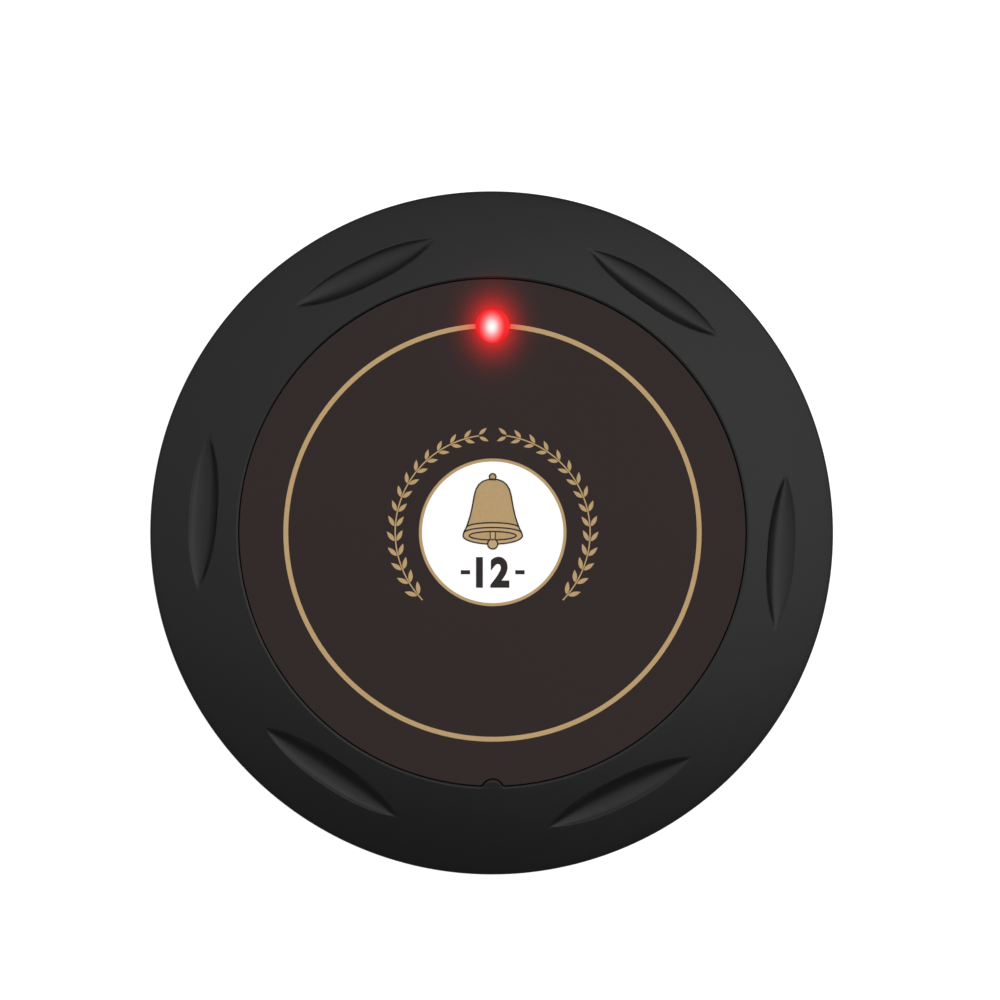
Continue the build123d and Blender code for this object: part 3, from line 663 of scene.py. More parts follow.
def make_grooved_shell(recipe):
    """Rolls up the shell's section, with the key on the well's wall and the grooves cut in."""
    given, calc = recipe.given, recipe.calc
    angle, radius, height = recipe.position()
    key_share, crown_share = (
        recipe.made("GeometryNodeInputNamedAttribute", {"Name": label}, data_type="FLOAT")
        for label in ("key_share", "crown_share")
    )

    def left_over(whole, part):
        """The root of whole squared less part squared, or 0."""
        return calc("SQRT", calc("MAXIMUM", whole * whole - part * part, 0.0))

    # the key, a round end between two filleted feet on the well's wall
    key_radius, key_fillet = given["Key Radius"], given["Key Fillet"]
    off_key = calc("RADIANS", angle - given["Key Angle"])
    aside = calc("ABSOLUTE", given["Well Radius"] * calc("SINE", off_key))
    end = given["Key Reach"] - key_radius + left_over(key_radius, aside)
    to_foot = calc("MAXIMUM", given["Key Foot"] - aside, 0.0)
    foot = key_fillet - left_over(key_fillet, to_foot)
    touch = given["Key Foot"] * (key_radius / (key_radius + key_fillet))
    bump = foot + calc("LESS_THAN", aside, touch) * (end - foot)
    this_side = calc("GREATER_THAN", calc("COSINE", off_key), 0.0)
    moved = radius - bump * this_side * key_share
    # the grooves: how deep each vertex lies under the crown
    half_step = 180.0 / given["Groove Count"]
    off_groove = calc("WRAP", angle - given["First Groove"], half_step, half_step * -1.0)
    off_groove = calc("RADIANS", off_groove)
    along = calc("ABSOLUTE", moved * calc("SINE", off_groove))
    across = moved * calc("COSINE", off_groove) - given["Groove Circle"]
    lost = calc("POWER", along / given["Half Length"], given["Fullness"])
    half = calc("MAXIMUM", given["Half Width"] * (1.0 - lost), 0.001)
    share = across / half
    ledge = (share + 1.0) * given["Ledge Slope"]
    near = (share + 1.0) * given["Near Slope"] + given["Ledge"]
    far = (1.0 - share) * given["Far Slope"]
    for power, weight in ((2.0, given["Far Bow"]), (6.0, given["Far Lip"])):
        far = far + (1.0 - calc("POWER", calc("ABSOLUTE", share), power)) * weight
    floor = calc("SMOOTH_MIN", near, far, given["Floor Blend"])
    depth = calc("SMOOTH_MIN", floor, ledge, given["Ledge Blend"]) * half
    dip = calc("SMOOTH_MAX", depth, 0.0, given["Edge Blend"])
    # the key's top follows the crown
    at_rest, now = (left_over(given["Crown Arc"], out - given["Crown Centre"]) for out in (radius, moved))
    level = height + (now - at_rest - dip) * crown_share
    polish = calc("GREATER_THAN", depth, 0.0) * crown_share
    inputs = {"Geometry": given["Geometry"], "Name": "polish", "Value": polish}
    polished = recipe.made("GeometryNodeStoreNamedAttribute", inputs, data_type="FLOAT")
    recipe.close(recipe.rolled(angle, moved, level, polished))


make_grooved_shell(grooved_shell)


def welded(piece, *others):
    """Joins other pieces' meshes into a piece, as one moulding."""
    shape = bmesh.new()
    for part in (piece, *others):
        shape.from_mesh(part.data)
    shape.to_mesh(piece.data)
    shape.free()
    for part in others:
        bpy.data.objects.remove(part)
    return point_outward(piece, sharp_angle=38.0)


# a painted highlight: a lighter band of the housing's colour along the well's rim
rim_highlight_line, rim_highlight_reach = 0.10, 0.12  # outside the well's wall, and to either side of that


def make_housing_abs():
    """The mould is polished in the grooves and grained elsewhere. A painted highlight lightens the well's
    rim.
    """
    finish = Finish("housing_abs", IOR=1.33, Emission_Strength=1.0)
    outputs = mould_grain.on(finish)
    polish = finish.out(finish.add("ShaderNodeAttribute", attribute_name="polish"), "Fac")
    x, y, _ = finish.split(finish.place())
    off_rim = finish.calc("SQRT", x * x + y * y) - (well_radius + rim_highlight_line) * mm
    rim_highlight = finish.calc("MAXIMUM", 1.0 - finish.calc("ABSOLUTE", off_rim) / (rim_highlight_reach * mm), 0.0)
    # the tone is lifted along the rim for the painted highlight
    tone = outputs["Lift"] * 0.5 + rim_highlight * 0.5
    finish.shade(
        Base_Color=finish.ramp(tone, [(0.15, (0.0012,) * 3), (0.35, (0.0024,) * 3), (0.85, (0.012,) * 3)]),
        Roughness=outputs["Sheen"] * 0.05 + polish * -0.06 + 0.39,
    )
    finish.relief(outputs["Relief"], 2.0e-6)
    return finish


housing_abs = make_housing_abs()
lug_section = [(25.85, 5.4), (27.3, 5.4), (27.3, 6.8), (25.85, 6.8), (25.7, 6.65), (25.7, 5.55)]
lug_half_turn, boss_circle = 17.0, 25.5
boss_section = [(0.0, 14.6), (0.8, 14.4), (0.8, 11.3), (1.0, 11.0), (1.8, 11.0), (1.9, 11.1)]
boss_section += [(1.9, 15.3), (0.0, 15.3)]
shell_mesh = unrolled("shell", housing_section(), housing_angles, ("key_share", "crown_share"))
lug_mesh = unrolled("lug", lug_section, between(-lug_half_turn, lug_half_turn, 35))
boss_mesh = unrolled("boss", boss_section, full_turn(48))
upper_housing = welded(
    grooved_shell.run("upper_housing", shell_mesh, housing_abs),
    turned.run("lugs", lug_mesh, housing_abs, Count=3, First_Angle=30.0),
    turned.run("bosses", boss_mesh, housing_abs, Count=3, Circle=boss_circle, First_Angle=90.0),
)
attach(upper_housing, "housing")
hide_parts("top_housing")

# ---------------------------------------------------------------- circuit board
# A 1.2 mm glass-fibre board under green solder mask, cut round the battery and screwed up
# against the three bosses. Tinned joints stand where leads and pins come through it.
board_mask = Finish("board_mask", Roughness=0.28, IOR=1.5)
board_place = board_mask.place()
track_rows = {"Mortar Size": 0.09, "Mortar Smooth": 0.1, "Brick Width": 0.9, "Row Height": 0.32}
tracks = board_mask.add("ShaderNodeTexBrick", {"Vector": board_place, "Scale": 260.0, **track_rows})
fibre = board_mask.noise(board_place, 700.0, 3.0)
track_shade = board_mask.out(tracks, "Fac") * 0.6 + fibre * 0.35
board_green = board_mask.toned(track_shade, (0.008, 0.070, 0.026), (0.030, 0.17, 0.065), 0.1, 0.8)
board_mask.shade(Base_Color=board_green)
board_mask.relief(track_shade, 1.2e-5)
board_mask.dress("circuit_board")

solder = Finish("solder", Metallic=1.0)
solder_cloud = mould_grain.on(solder, Grain=3000.0, Patches=900.0)
solder.shade(
    Base_Color=solder.toned(solder_cloud["Lift"], (0.52, 0.52, 0.53), (0.74, 0.74, 0.73)),
    Roughness=solder_cloud["Sheen"] * 0.3 + 0.3,
)
solder.relief(solder_cloud["Relief"], 8e-6)

board_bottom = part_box("circuit_board")[0].z / mm
joint_radius, joint_height, joint_waist, joint_tip = 0.75, 0.8, 0.3, 0.42
jointed = Recipe("solder_joints", {"Joint Radius": joint_radius})


def make_jointed(recipe):
    """A joint at each vertex of the given mesh, of the size that its radius sets."""
    steps = {"Vertices": 20, "Side Segments": 4, "Fill Segments": 1}
    radii = {"Radius Top": joint_tip, "Radius Bottom": 1.0, "Depth": joint_height}
    cone = recipe.made("GeometryNodeMeshCone", {**steps, **radii})
    x, y, z = recipe.position()
    narrow = 1.0 - recipe.calc("SINE", z * (math.pi / joint_height)) * joint_waist
    hollowed = recipe.moved(cone, recipe.vector(x * narrow, y * narrow, z))
    size = recipe.vector(*[recipe.given["Joint Radius"]] * 3)
    recipe.close(recipe.repeated(recipe.given["Geometry"], hollowed, (math.pi, 0.0, 0.0), size))


make_jointed(jointed)
lead_off, wire_half, strip_half, pin_inset = 0.95, 0.35, 0.2, 0.45  # from middles and ends


def middle(name):
    low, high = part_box(name)
    return (low.x + high.x) / 2 / mm, (low.y + high.y) / 2 / mm


def joint_places():
    """Where leads and pins come through the board, in millimetres."""
    lamp_x, lamp_y = middle("lamp")
    places = [(lamp_x + side * lead_off, lamp_y) for side in (-1, 1)]
    coil_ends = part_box("antenna_coil")
    coil_y = middle("antenna_coil")[1]
    places += [(end.x / mm + side * wire_half, coil_y) for end, side in zip(coil_ends, (1, -1))]
    for contact, end in (("positive_contact", 1), ("negative_contact", 0)):
        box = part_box(contact)
        outer = box[end].x
        places.append((outer / mm - math.copysign(strip_half, outer), box[1].y / mm - pin_inset))
    return places


spots = bpy.data.meshes.new("joint_spots")
spots.from_pydata([(x, y, board_bottom + 0.01) for x, y in joint_places()], [], [])
solder_joints = jointed.run("solder_joints", spots, solder, sharp_angle=50.0)
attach(solder_joints, "housing")

# ---------------------------------------------------------------- metal parts
# Bent and stamped from plated steel: the board's screws, the battery's two contacts and
# its spring, the resonator's can, the switch's frame, dome and feet, and all the leads.


def metal(name, dark, light, roughness, stretch=(1.0, 1.0, 1.0), **more):
    """A bare or plated metal with faint drawn lines along one direction."""
    finish = Finish(name, Metallic=1.0, **more)
    stretched = finish.made("ShaderNodeMapping", {"Vector": finish.place(), "Scale": stretch})
    lines = finish.noise(stretched, 900.0, 3.0)
    finish.shade(
        Base_Color=finish.toned(lines, dark, light, 0.35, 0.65),
        Roughness=lines * 0.16 + roughness,
    )
    finish.relief(lines, 2e-6)
    return finish


plated = metal("plated_steel", (0.58, 0.58, 0.56), (0.76, 0.75, 0.72), 0.2, (1.0, 1.0, 8.0))
plated.dress("positive_contact", "negative_contact", "contact_spring", "resonator_can", "lamp_leads")
plated.dress("switch_frame", "switch_terminals", "chip_leads")
screw_steel = metal("screw_steel", (0.42, 0.42, 0.43), (0.60, 0.60, 0.60), 0.26, (8.0, 8.0, 1.0))
screw_steel.dress("board_screws")
coil_copper = metal("coil_copper", (0.62, 0.25, 0.11), (0.86, 0.42, 0.20), 0.22, Coat_Weight=0.5)
coil_copper.dress("antenna_coil")

# ---------------------------------------------------------------- radio parts
# The encoder chip in black epoxy with its pin-one dimple, and two rows of small surface
# parts under the board: ceramic bodies between two tinned end caps.
chip_epoxy = moulded("chip_epoxy", (0.010, 0.010, 0.011), (0.022, 0.022, 0.023), 0.55, 6e-6)
chip_epoxy.dress("encoder_chip")
body_share = 0.62  # of a small part's length, between its caps


def end_capped(name, node, dark, light):
    """A small part's finish: its body between tinned caps at both ends of its length."""
    finish = Finish(name)
    x, _, _ = finish.split(finish.place())
    low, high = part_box(node)
    off_middle = finish.calc("ABSOLUTE", x - (low.x + high.x) / 2)
    cap = finish.calc("GREATER_THAN", off_middle, (high.x - low.x) / 2 * body_share)
    body = finish.toned(mould_grain.on(finish, Grain=5000.0, Patches=1500.0)["Lift"], dark, light)
    finish.shade(
        Base_Color=finish.mixed(cap, body, (0.68, 0.68, 0.66, 1.0)),
        Metallic=cap,
        Roughness=cap * -0.2 + 0.5,
    )
    finish.dress(node)


end_capped("resistor_ends", "chip_resistors", (0.012, 0.012, 0.014), (0.03, 0.03, 0.034))
end_capped("capacitor_ends", "chip_capacitors", (0.36, 0.25, 0.14), (0.52, 0.39, 0.24))

# ---------------------------------------------------------------- battery and its holder
# A 12 V alkaline battery, a steel can in a shrunk film sleeve with bare rims at both ends,
# pushed into a black ABS holder that hangs in the board's cut-out.
holder_abs = moulded("holder_abs", (0.012, 0.012, 0.013), (0.022, 0.022, 0.023), 0.5, 5e-6)
holder_abs.dress("battery_holder")
battery_low, battery_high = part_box("battery")
can_tone, film_tone, band_tone = (0.62, 0.61, 0.58), (0.030, 0.060, 0.16), (0.62, 0.40, 0.10)
sleeve_start, band_start, sleeve_end = 0.015, 0.70, 0.945  # shares of the battery's length
sleeve = Finish("battery_sleeve", Coat_Weight=0.6, Coat_Roughness=0.12)
along_sleeve = (sleeve.split(sleeve.place())[0] - battery_low.x) / (battery_high.x - battery_low.x)
off_middle = sleeve.calc("ABSOLUTE", along_sleeve - (sleeve_start + sleeve_end) / 2)
bare = sleeve.calc("GREATER_THAN", off_middle, (sleeve_end - sleeve_start) / 2)
sleeve_cloud = mould_grain.on(sleeve, Grain=2500.0, Patches=400.0)
sleeve_tones = [(0.0, can_tone), (0.02, film_tone), (band_start, film_tone)]
sleeve_tones += [(band_start + 0.01, band_tone), (0.94, band_tone), (0.95, can_tone)]
sleeve.shade(
    Base_Color=sleeve.ramp(along_sleeve, sleeve_tones),
    Metallic=bare * 0.6 + 0.35,
    Roughness=sleeve_cloud["Sheen"] * 0.2 + 0.32,
)
sleeve.relief(sleeve_cloud["Lift"], 1.5e-5)
sleeve.dress("battery")

# ---------------------------------------------------------------- push switch
# A 6 mm dome switch on the board's top: moulded base and stem, stamped frame, and a domed
# disc of spring steel that gives the click and flattens under the stem.
switch_abs = moulded("switch_abs", (0.011, 0.011, 0.011), (0.024, 0.024, 0.023), 0.48, 4e-6)
switch_abs.dress("switch_base", "switch_plunger")
dome_low, dome_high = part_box("switch_dome")
dome_bottom, dome_half, dome_sheet = dome_low.z / mm, dome_high.x / mm, 0.12
dome_rise = (dome_high.z - dome_low.z) / mm


def dome_section():
    """The dome's upper side outward, then its underside inward."""
    sphere = (dome_half**2 + dome_rise**2) / (2 * dome_rise)
    centre = dome_bottom + dome_rise - sphere
    lean = math.asin(dome_half / sphere)
    thin = sphere - dome_sheet
    under_lean = math.acos((dome_bottom - centre) / thin)
    sheets = ((sphere, 0.0, lean), (thin, under_lean, 0.0))
    return [
        (radius * math.sin(turn), centre + radius * math.cos(turn))
        for radius, first, last in sheets
        for turn in between(first, last, 9)
    ]


spring_steel = metal("spring_steel", (0.60, 0.59, 0.57), (0.78, 0.77, 0.74), 0.16)
snap_dome = turned.run("snap_dome", unrolled("dome", dome_section(), full_turn(60)), spring_steel)
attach(snap_dome, "housing")
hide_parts("switch_dome")
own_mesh(snap_dome)

# ---------------------------------------------------------------- return ring
# A soft ring of black microcellular foam that lies on the board and pushes the button's
# flange back up. Its sides swell a little.
ring_low, ring_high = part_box("return_ring")
ring_outer, ring_bottom, ring_top = ring_high.x / mm, ring_low.z / mm, ring_high.z / mm
ring_width, ring_swell, ring_corner, button_travel = 1.2, 0.07, 0.22, 0.5


def return_ring_section():
    """A rounded oblong whose two sides swell towards their middle."""
    half_width, half_height = ring_width / 2, (ring_top - ring_bottom) / 2
    centre = (ring_outer - half_width, (ring_top + ring_bottom) / 2)
    reach, rise = half_width - ring_swell - ring_corner, half_height - ring_corner
    points = []
    for corner, (side, up) in enumerate(((1, 1), (-1, 1), (-1, -1), (1, -1))):
        quarter = (math.pi / 2 * corner, math.pi / 2 * (corner + 1))
        points += arc_points((side * reach, up * rise), ring_corner, *quarter, 5)
    swollen = []
    for index, (x, z) in enumerate(points):
        after = points[(index + 1) % len(points)]
        swollen.append((x, z))
        if abs(after[1] - z) > half_height:
            for share in (0.25, 0.5, 0.75):
                bulge = ring_swell * math.sin(math.pi * share)
                swollen.append((x + math.copysign(bulge, x), z + (after[1] - z) * share))
    return [(centre[0] + x, centre[1] + z) for x, z in swollen]


soft_foam = Finish("soft_foam", Roughness=0.95)
foam_cells = soft_foam.cells(soft_foam.place(), 7000.0)
soft_foam.shade(Base_Color=soft_foam.toned(foam_cells, (0.018, 0.018, 0.020), (0.045, 0.045, 0.048), 0.1))
soft_foam.relief(foam_cells, 3e-5)
ring_mesh = unrolled("ring", return_ring_section(), full_turn(240))
foam_ring = turned.run("foam_ring", ring_mesh, soft_foam, sharp_angle=70.0)
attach(foam_ring, "housing")
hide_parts("return_ring")
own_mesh(foam_ring)

# ---------------------------------------------------------------- indicator lamp
# A 3 mm red lamp that stands on the board, and over it the clear red lens in the button.
# It is lit: white in the middle of the lens, red towards its rim, with a glow on the film.
lamp_x, lamp_y = middle("lamp_lens")
lens_radius = 1.5


def lit_distance(tree, place, stretch, shift=0.0):
    """Distance from the lamp's axis in millimetres, drawn out along Y."""
    x, y, _ = tree.split(place)
    off_x = (x - (lamp_x + shift) * mm) / (stretch * mm)
    off_y = (y - (lamp_y + shift) * mm) / mm
    return tree.calc("SQRT", off_x * off_x + off_y * off_y)


lamp_epoxy = Finish("lamp_epoxy", Roughness=0.15, Emission_Strength=1.5)
lamp_cloud = mould_grain.on(lamp_epoxy, Patches=600.0)["Lift"]
lamp_epoxy.shade(
    Base_Color=lamp_epoxy.toned(lamp_cloud, (0.55, 0.012, 0.016), (0.75, 0.03, 0.035)),
    Emission_Color=lamp_epoxy.toned(lamp_cloud, (0.8, 0.02, 0.03), (1.0, 0.06, 0.07)),
)
lamp_epoxy.dress("lamp")

lens_clear = Finish("lens_clear", Roughness=0.3, Specular_IOR_Level=0.1, Emission_Strength=1.0)
lens_off = lit_distance(lens_clear, lens_clear.place(), stretch=0.77, shift=-0.09)
lens_clear.shade(
    Base_Color=lens_clear.toned(lens_off, (0.04, 0.003, 0.004), (0.03, 0.001, 0.002), 0.0, 1.0),
    Emission_Color=lens_clear.ramp(
        lens_off / lens_radius,
        [
            (0.10, (1.0, 1.0, 0.95)),
            (0.27, (1.0, 0.80, 0.79)),
            (0.40, (1.0, 0.56, 0.56)),
            (0.53, (1.0, 0.33, 0.34)),
            (0.67, (0.99, 0.185, 0.19)),
            (0.83, (0.94, 0.075, 0.08)),
            (1.0, (0.90, 0.012, 0.014)),
        ],
    ),
)
lens_clear.dress("lamp_lens")

# ---------------------------------------------------------------- face button
# The black ABS cap that is pressed: a plate with a skirt that guides it in the well, ribs
# and a pusher on its underside. Only its edge shows, round the film that covers it.
button_tones = (0.0032, 0.0032, 0.0034), (0.0050, 0.0050, 0.0052)
button_abs = moulded("button_abs", *button_tones, roughness=0.42, spread=0.06, IOR=1.33)
button_abs.dress("button_cap")

# ---------------------------------------------------------------- printed face film
# A satin polycarbonate film glued to the button, dark brown, with a key-shaped notch and a
# hole for the lens. Its print is screened in gold, white and near-black ink.
glow_sizes = {"Reach": lens_radius, "Fall": 1.0, "Bend": 0.079, "Strength": 0.65}
lamp_glow = Effect("lamp_glow", glow_sizes, ("Glow", "Stain"))


def make_lamp_glow(effect):
    """Light that spills from the lens, painted on, and a stronger painted glow of that light on pale ink.
    """
    given, calc = effect.given, effect.calc
    off = calc("MAXIMUM", lit_distance(effect, given["Place"], stretch=0.83) - given["Reach"], 0.0)
    fall = off * (off * given["Bend"] + given["Fall"])
    glow = calc("EXPONENT", fall * -1.0) * given["Strength"]
    effect.close(Glow=glow, Stain=calc("MINIMUM", calc("POWER", glow, 0.8) * 1.5, 1.0))


make_lamp_glow(lamp_glow)


# the glow just reaches the housing behind the lens
unlit = (0.0, 0.0, 0.0)
housing_glow = lamp_glow.on(housing_abs)["Glow"]
housing_abs.shade(Emission_Color=housing_abs.toned(housing_glow, unlit, (0.8, 0.0, 0.0), 0.0, 1.0))


def printable(name, dark, light, roughness, **more):
    """A finish with the film's faint texture, its two near tones and the texture's height."""
    finish = Finish(name, Emission_Strength=1.0, **more)
    outputs = mould_grain.on(finish, Grain=6000.0, Patches=90.0)
    finish.shade(Roughness=outputs["Sheen"] * 0.05 + roughness)
    finish.relief(outputs["Relief"], 1.2e-6)
    return finish, finish.toned(outputs["Lift"], dark, light)


def inked(name, dark, light, roughness=0.5, painted_brightness=0.0):
    """A satin ink with the lamp's red light painted on where the lamp lights it, and with a painted glow
    of its own where one is given.
    """
    finish, bare = printable(name, dark, light, roughness, IOR=1.33)
    # the lamp's light is painted: the ink turns dark red and glows red where it falls
    ink_glow = lamp_glow.on(finish)["Stain"]
    finish.shade(
        Base_Color=finish.mixed(ink_glow, bare, (0.02, 0.005, 0.005, 1.0)),
        Emission_Color=finish.toned(ink_glow, (painted_brightness,) * 3, (1.0, 0.02, 0.02), 0.0, 1.0),
    )
    return finish


film_tones = (0.0175, 0.0064, 0.0053), (0.0199, 0.0076, 0.0065)
brown_film, bare_film = printable("brown_film", *film_tones, roughness=0.45, IOR=1.29)
film_glow = lamp_glow.on(brown_film)["Glow"]
brown_film.shade(
    Base_Color=bare_film,
    Emission_Color=brown_film.toned(film_glow, unlit, (1.0, 0.0, 0.0), 0.0, 1.0),
)
gold_ink = inked("gold_ink", (0.555, 0.366, 0.164), (0.615, 0.418, 0.195))
light_gold_ink = inked("light_gold_ink", (0.62, 0.425, 0.215), (0.69, 0.485, 0.255))
# the white ink is given a faint painted glow, so that it looks brighter than its colour alone
white_ink = inked("white_ink", (0.92, 0.92, 0.92), (0.95, 0.95, 0.95), 0.55, painted_brightness=0.27)
dark_ink = inked("dark_ink", (0.012, 0.006, 0.005), (0.016, 0.008, 0.007))

film_low, film_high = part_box("face_label")
film_bottom, film_top = film_low.z / mm, film_high.z / mm
film_gap, film_window = 0.08, 1.515  # to the housing, and the lens hole's radius


def key_rise(aside, gap):
    """How far a line that keeps that gap to the well's wall and key lies from the wall."""
    aside = abs(aside)
    if aside < key_foot * (key_radius + gap) / (key_radius + key_fillet):
        return key_reach - key_radius + math.sqrt((key_radius + gap) ** 2 - aside**2)
    to_foot = max(key_foot - aside, 0.0)
    return key_fillet - math.sqrt((key_fillet - gap) ** 2 - to_foot**2)


def film_outline():
    """The film's edge, from one side of the key over its notch and all the way round."""
    angles = between(key_start, key_end, 61) + between(key_end, key_start + 360.0, 300)[1:-1]
    points = []
    for angle in angles:
        turn, off_key = math.radians(angle), math.radians(angle - key_angle)
        aside = well_radius * (math.sin(off_key) if off_key < math.pi / 2 else 1.0)
        reach = well_radius - key_rise(aside, film_gap)
        points.append((reach * math.cos(turn), reach * math.sin(turn)))
    return points


film_loops = [film_outline(), circle(film_window, lamp_x, lamp_y, 90)]
face_film = punched("face_film", film_loops, film_bottom, film_top, brown_film, rounding=0.02)
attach(face_film, "button")
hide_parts("face_label")
ink = 0.012  # thickness of one screened coat
sunk = 0.01  # how far a coat reaches into what it lies on
ring_radius, ring_line = 18.13, 0.42
disc_radius, disc_rim = 6.2, 0.27


def coat(name, loops, level, finish):
    """One coat of ink on the film, over the coats that lie below it."""
    piece = punched(name, loops, film_top - sunk, film_top + ink * level, finish)
    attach(piece, "button")
    return piece


printed_line = Recipe("printed_line", {"Line Width": 0.45, "Coat": ink + sunk})


def make_printed_line(recipe):
    """A flat ribbon of ink along the given chain of edges."""
    given = recipe.given
    path = recipe.made("GeometryNodeMeshToCurve", {"Mesh": given["Geometry"]})
    upright = recipe.made("GeometryNodeSetCurveNormal", {"Curve": path}, mode="Z_UP")
    oblong = {"Width": given["Line Width"], "Height": given["Coat"]}
    profile = recipe.made("GeometryNodeCurvePrimitiveQuadrilateral", oblong)
    inputs = {"Curve": upright, "Profile Curve": profile, "Fill Caps": True}
    recipe.close(recipe.made("GeometryNodeCurveToMesh", inputs))


make_printed_line(printed_line)


def chain(name, lines, level):
    """Edges along lines of points, at the height of the middle of a coat."""
    height = film_top + (ink * level - sunk) / 2
    vertices, edges = [], []
    for line in lines:
        start = len(vertices)
        vertices += [(x, y, height) for x, y in line]
        edges += [(start + step, start + step + 1) for step in range(len(line) - 1)]
        if line[0] == line[-1]:
            vertices.pop()
            edges[-1] = (edges[-1][0], start)
    mesh = bpy.data.meshes.new(name)
    mesh.from_pydata(vertices, edges, [])
    return mesh


def drawn(name, lines, width, level, finish):
    """Lines of ink, as thick as the coat of that level."""
    sizes = {"Line_Width": width, "Coat": ink * level + sunk}
    piece = printed_line.run(name, chain(name, lines, level), finish, **sizes)
    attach(piece, "button")
    return piece


def arc(radius, first, last, count, x=0.0, y=0.0, rise=None):
    """Points on an arc, or on part of an ellipse when it has a rise of its own."""
    rise = radius if rise is None else rise
    return [
        (x + radius * math.cos(math.radians(turn)), y + rise * math.sin(math.radians(turn)))
        for turn in between(first, last, count)
    ]


lens_gap = math.degrees(math.asin(film_window / ring_radius))
drawn("gold_ring", [arc(ring_radius, 90 + lens_gap, 450 - lens_gap, 241)], ring_line, 1, gold_ink)
coat("gold_disc", [circle(disc_radius + disc_rim)], 1, gold_ink)
coat("white_disc", [circle(disc_radius)], 2, white_ink)

# ---------------------------------------------------------------- leaf border
# Two plain leafy sprigs that rise on either side of the disc and meet over it, printed in
# gold. Small pointed leaves stand in pairs along a thin stem.
sprig_radius, sprig_start, sprig_end, leaf_pairs = 8.55, 220.0, 98.0, 15
leaf_length, leaf_width, leaf_bias = 1.15, 0.40, 0.85  # below 1, the widest place nears the foot
stem_width, stem_start = 0.11, 4.0  # the stem starts that many degrees before the first pair
leafy = Recipe(
    "leafy_sprigs",
    {
        "Pairs": leaf_pairs,
        "Circle": sprig_radius,
        "Start": sprig_start,
        "End": sprig_end,
        "Tilt": 33.0,
        "Offset": 0.10,
        "Tip Scale": 0.78,
    },
)


def make_leafy(recipe):
    """Places the given leaf in pairs along two sprigs that mirror each other."""
    given, calc = recipe.given, recipe.calc
    on_sprig = given["Pairs"] * 2.0
    spots = recipe.made("GeometryNodePoints", {"Count": on_sprig * 2.0})
    index = recipe.made("GeometryNodeInputIndex")
    side = calc("MODULO", index, 2.0) * 2.0 - 1.0
    pair = calc("FLOOR", calc("MODULO", index, on_sprig) / 2.0)
    right = calc("FLOOR", index / on_sprig)
    share = pair / (given["Pairs"] - 1.0)
    lean = share * (given["End"] - given["Start"]) + given["Start"]
    grows = lean + (side * given["Tilt"] - 90.0)
    foot_turn, leaf_turn = (
        calc("RADIANS", right * (180.0 - left * 2.0) + left) for left in (lean, grows)
    )
    feet = recipe.moved(spots, recipe.on_circle(foot_turn, side * given["Offset"] + given["Circle"]))
    turn = recipe.vector(0.0, 0.0, leaf_turn)
    size = share * (given["Tip Scale"] - 1.0) + 1.0
    recipe.close(recipe.repeated(feet, given["Geometry"], turn, recipe.vector(size, size, 1.0)))


make_leafy(leafy)


def leaf_mesh():
    """A pointed leaf, flat and as thick as one coat, from the origin along X."""
    shares = between(0.0, 1.0, 9)
    swells = [math.sin(math.pi * share**leaf_bias) for share in shares]
    upper = [(leaf_length * share, leaf_width / 2 * swell) for share, swell in zip(shares, swells)]
    outline = upper + [(x, -y) for x, y in reversed(upper[1:-1])]
    rows = len(outline)
    vertices = [(x, y, level) for level in (film_top - sunk, film_top + ink) for x, y in outline]
    faces = [tuple(reversed(range(rows))), tuple(range(rows, 2 * rows))]
    faces += [(row, (row + 1) % rows, rows + (row + 1) % rows, rows + row) for row in range(rows)]
    mesh = bpy.data.meshes.new("leaf")
    mesh.from_pydata(vertices, [], faces)
    return mesh


leaf_border = leafy.run("leaf_border", leaf_mesh(), gold_ink)
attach(leaf_border, "button")
stem_ends = (sprig_start + stem_start, sprig_end)
stems = [arc(sprig_radius, *ends, 61) for ends in (stem_ends, [180.0 - end for end in stem_ends])]
drawn("leaf_stems", stems, stem_width, 1, gold_ink)

# ---------------------------------------------------------------- bell and table number
# The plain pictogram of a hand bell, gold with a fine dark outline, above the table's
# number between two bars. They are screened on the white disc.
bell_side = [
    (0.00, 4.66), (0.45, 4.62), (0.88, 4.47), (1.22, 4.18), (1.46, 3.78), (1.60, 3.30), (1.71, 2.70),
    (1.83, 2.05), (1.98, 1.40), (2.17, 0.80), (2.34, 0.36), (2.52, 0.02), (2.61, -0.30),
]
rim_half, rim_level = bell_side[-1]
rim_sag = arc(rim_half, 0, -90, 15, y=rim_level, rise=0.74)


def with_mirror(half):
    """A half outline and its mirror image on the left, which ends before the first point."""
    return half + [(-x, y) for x, y in reversed(half[1:-1])]


bell_outline = with_mirror(bell_side + rim_sag[1:])
knob = arc(0.29, -35, 215, 21, y=4.86)
ball_radius, ball_level = 0.44, -1.02
clapper_ball = circle(ball_radius, 0.0, ball_level, 40)
outline_width = 0.12
coat("bell_body", [bell_outline], 3, gold_ink)
coat("bell_knob", [knob + [(-0.24, 4.55), (0.24, 4.55)]], 3, gold_ink)
band_top = arc(2.30, 168, 12, 25, y=0.42, rise=0.42)
band_low = arc(2.56, 172, 8, 25, y=-0.08, rise=0.50)
coat("bell_band", [band_top + list(reversed(band_low))], 4, light_gold_ink)
mouth = arc(2.06, 0, 360, 61, y=rim_level, rise=0.37)
coat("bell_lip", [band_low + with_mirror(rim_sag)[1:]], 4, light_gold_ink)
coat("bell_mouth", [mouth[:-1]], 5, gold_ink)
coat("bell_clapper", [clapper_ball], 7, light_gold_ink)
coat("bell_stem", [[(-0.18, 0.0), (0.18, 0.0), (0.16, -0.7), (-0.16, -0.7)]], 7, light_gold_ink)
stem_sides = [[(side * 0.22, 0.02), (side * 0.20, -0.64)] for side in (-1, 1)]
bell_lines = [bell_outline + bell_outline[:1], knob, band_top, band_low, mouth[:-1] + mouth[:1]]
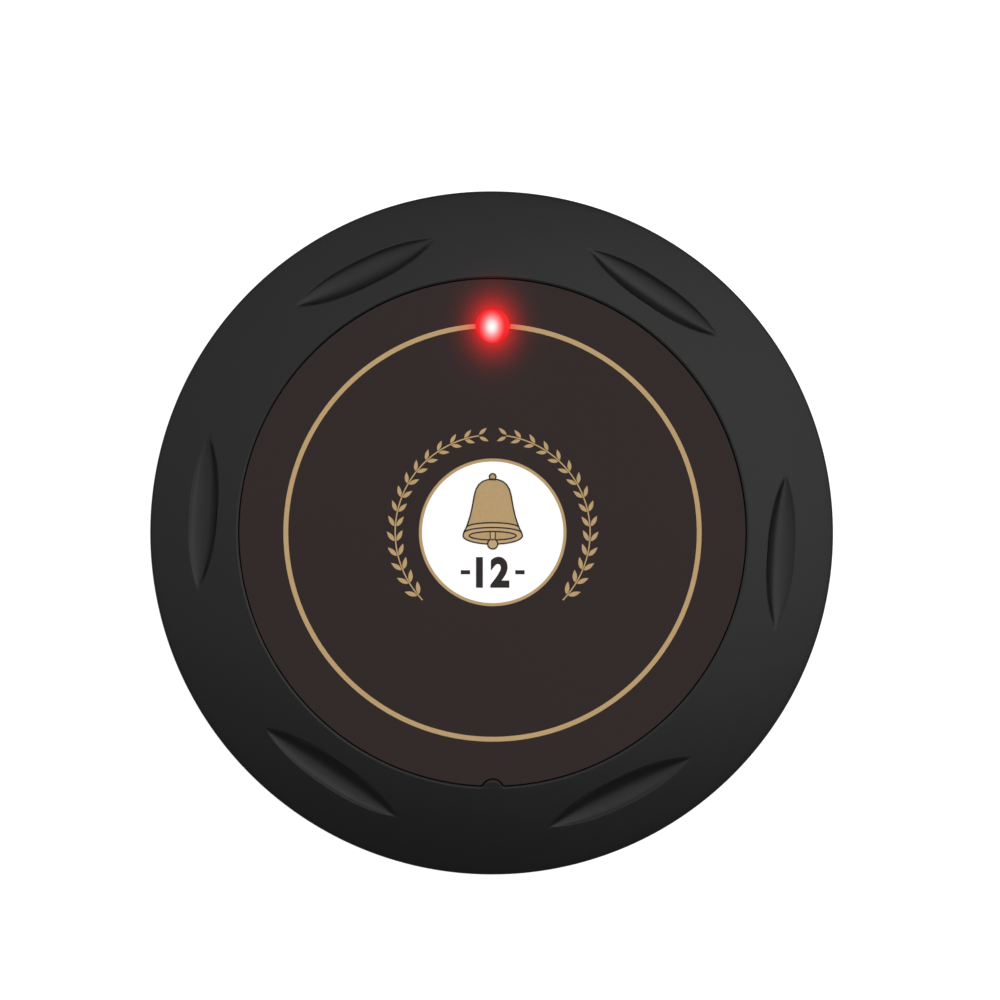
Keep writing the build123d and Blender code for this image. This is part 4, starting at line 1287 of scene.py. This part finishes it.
drawn("bell_lines", bell_lines + stem_sides, outline_width, 6, dark_ink)
ball_line = arc(ball_radius, 118, 422, 41, y=ball_level)
drawn("clapper_line", [ball_line], outline_width, 8, dark_ink)

digit_height, digit_width_share, digit_middle = 2.72, 0.92, -3.50
bar_inner, bar_outer, bar_low, bar_high = 1.98, 2.80, -3.68, -3.32


def number_loops(text):
    """The outlines of plain bold figures, drawn a little narrow, in millimetres."""
    figures = bpy.data.curves.new("figures", "FONT")
    figures.body = text
    figures.align_x = "CENTER"
    figures.offset = 0.045
    figures.space_character = 1.12
    flat = settled(placed("figures_carrier", figures))
    xs, ys = ([vertex.co[axis] for vertex in flat.vertices] for axis in (0, 1))
    scale = digit_height / (max(ys) - min(ys))
    flat.transform(
        Matrix.Translation((0.0, digit_middle, 0.0))
        @ Matrix.Diagonal((scale * digit_width_share, scale, 1.0, 1.0))
        @ Matrix.Translation((-(max(xs) + min(xs)) / 2, -(max(ys) + min(ys)) / 2, 0.0))
    )
    return flat


thickened = Recipe("thickened_figures", {"Coat": ink * 3 + sunk, "Base": film_top - sunk})


def make_thickened(recipe):
    """Gives flat faces the thickness of a coat and closes them below."""
    given = recipe.given
    flat = recipe.merged(given["Geometry"])
    inputs = {"Mesh": flat, "Offset": (0.0, 0.0, 1.0), "Offset Scale": given["Coat"], "Individual": False}
    raised = recipe.made("GeometryNodeExtrudeMesh", inputs)
    underside = recipe.made("GeometryNodeFlipFaces", {"Mesh": flat})
    both = recipe.add("GeometryNodeJoinGeometry")
    for part in (raised, underside):
        recipe.feed(both.inputs[0], part)
    recipe.close(recipe.shifted(recipe.merged(recipe.out(both)), 0.0, 0.0, given["Base"]))


make_thickened(thickened)
table_number = thickened.run("table_number", number_loops("12"), dark_ink)
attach(table_number, "button")
bar_corners = ((bar_inner, bar_low), (bar_outer, bar_low), (bar_outer, bar_high), (bar_inner, bar_high))
for side, label in ((-1, "left"), (1, "right")):
    coat(f"number_bar_{label}", [[(side * x, y) for x, y in bar_corners]], 3, dark_ink)
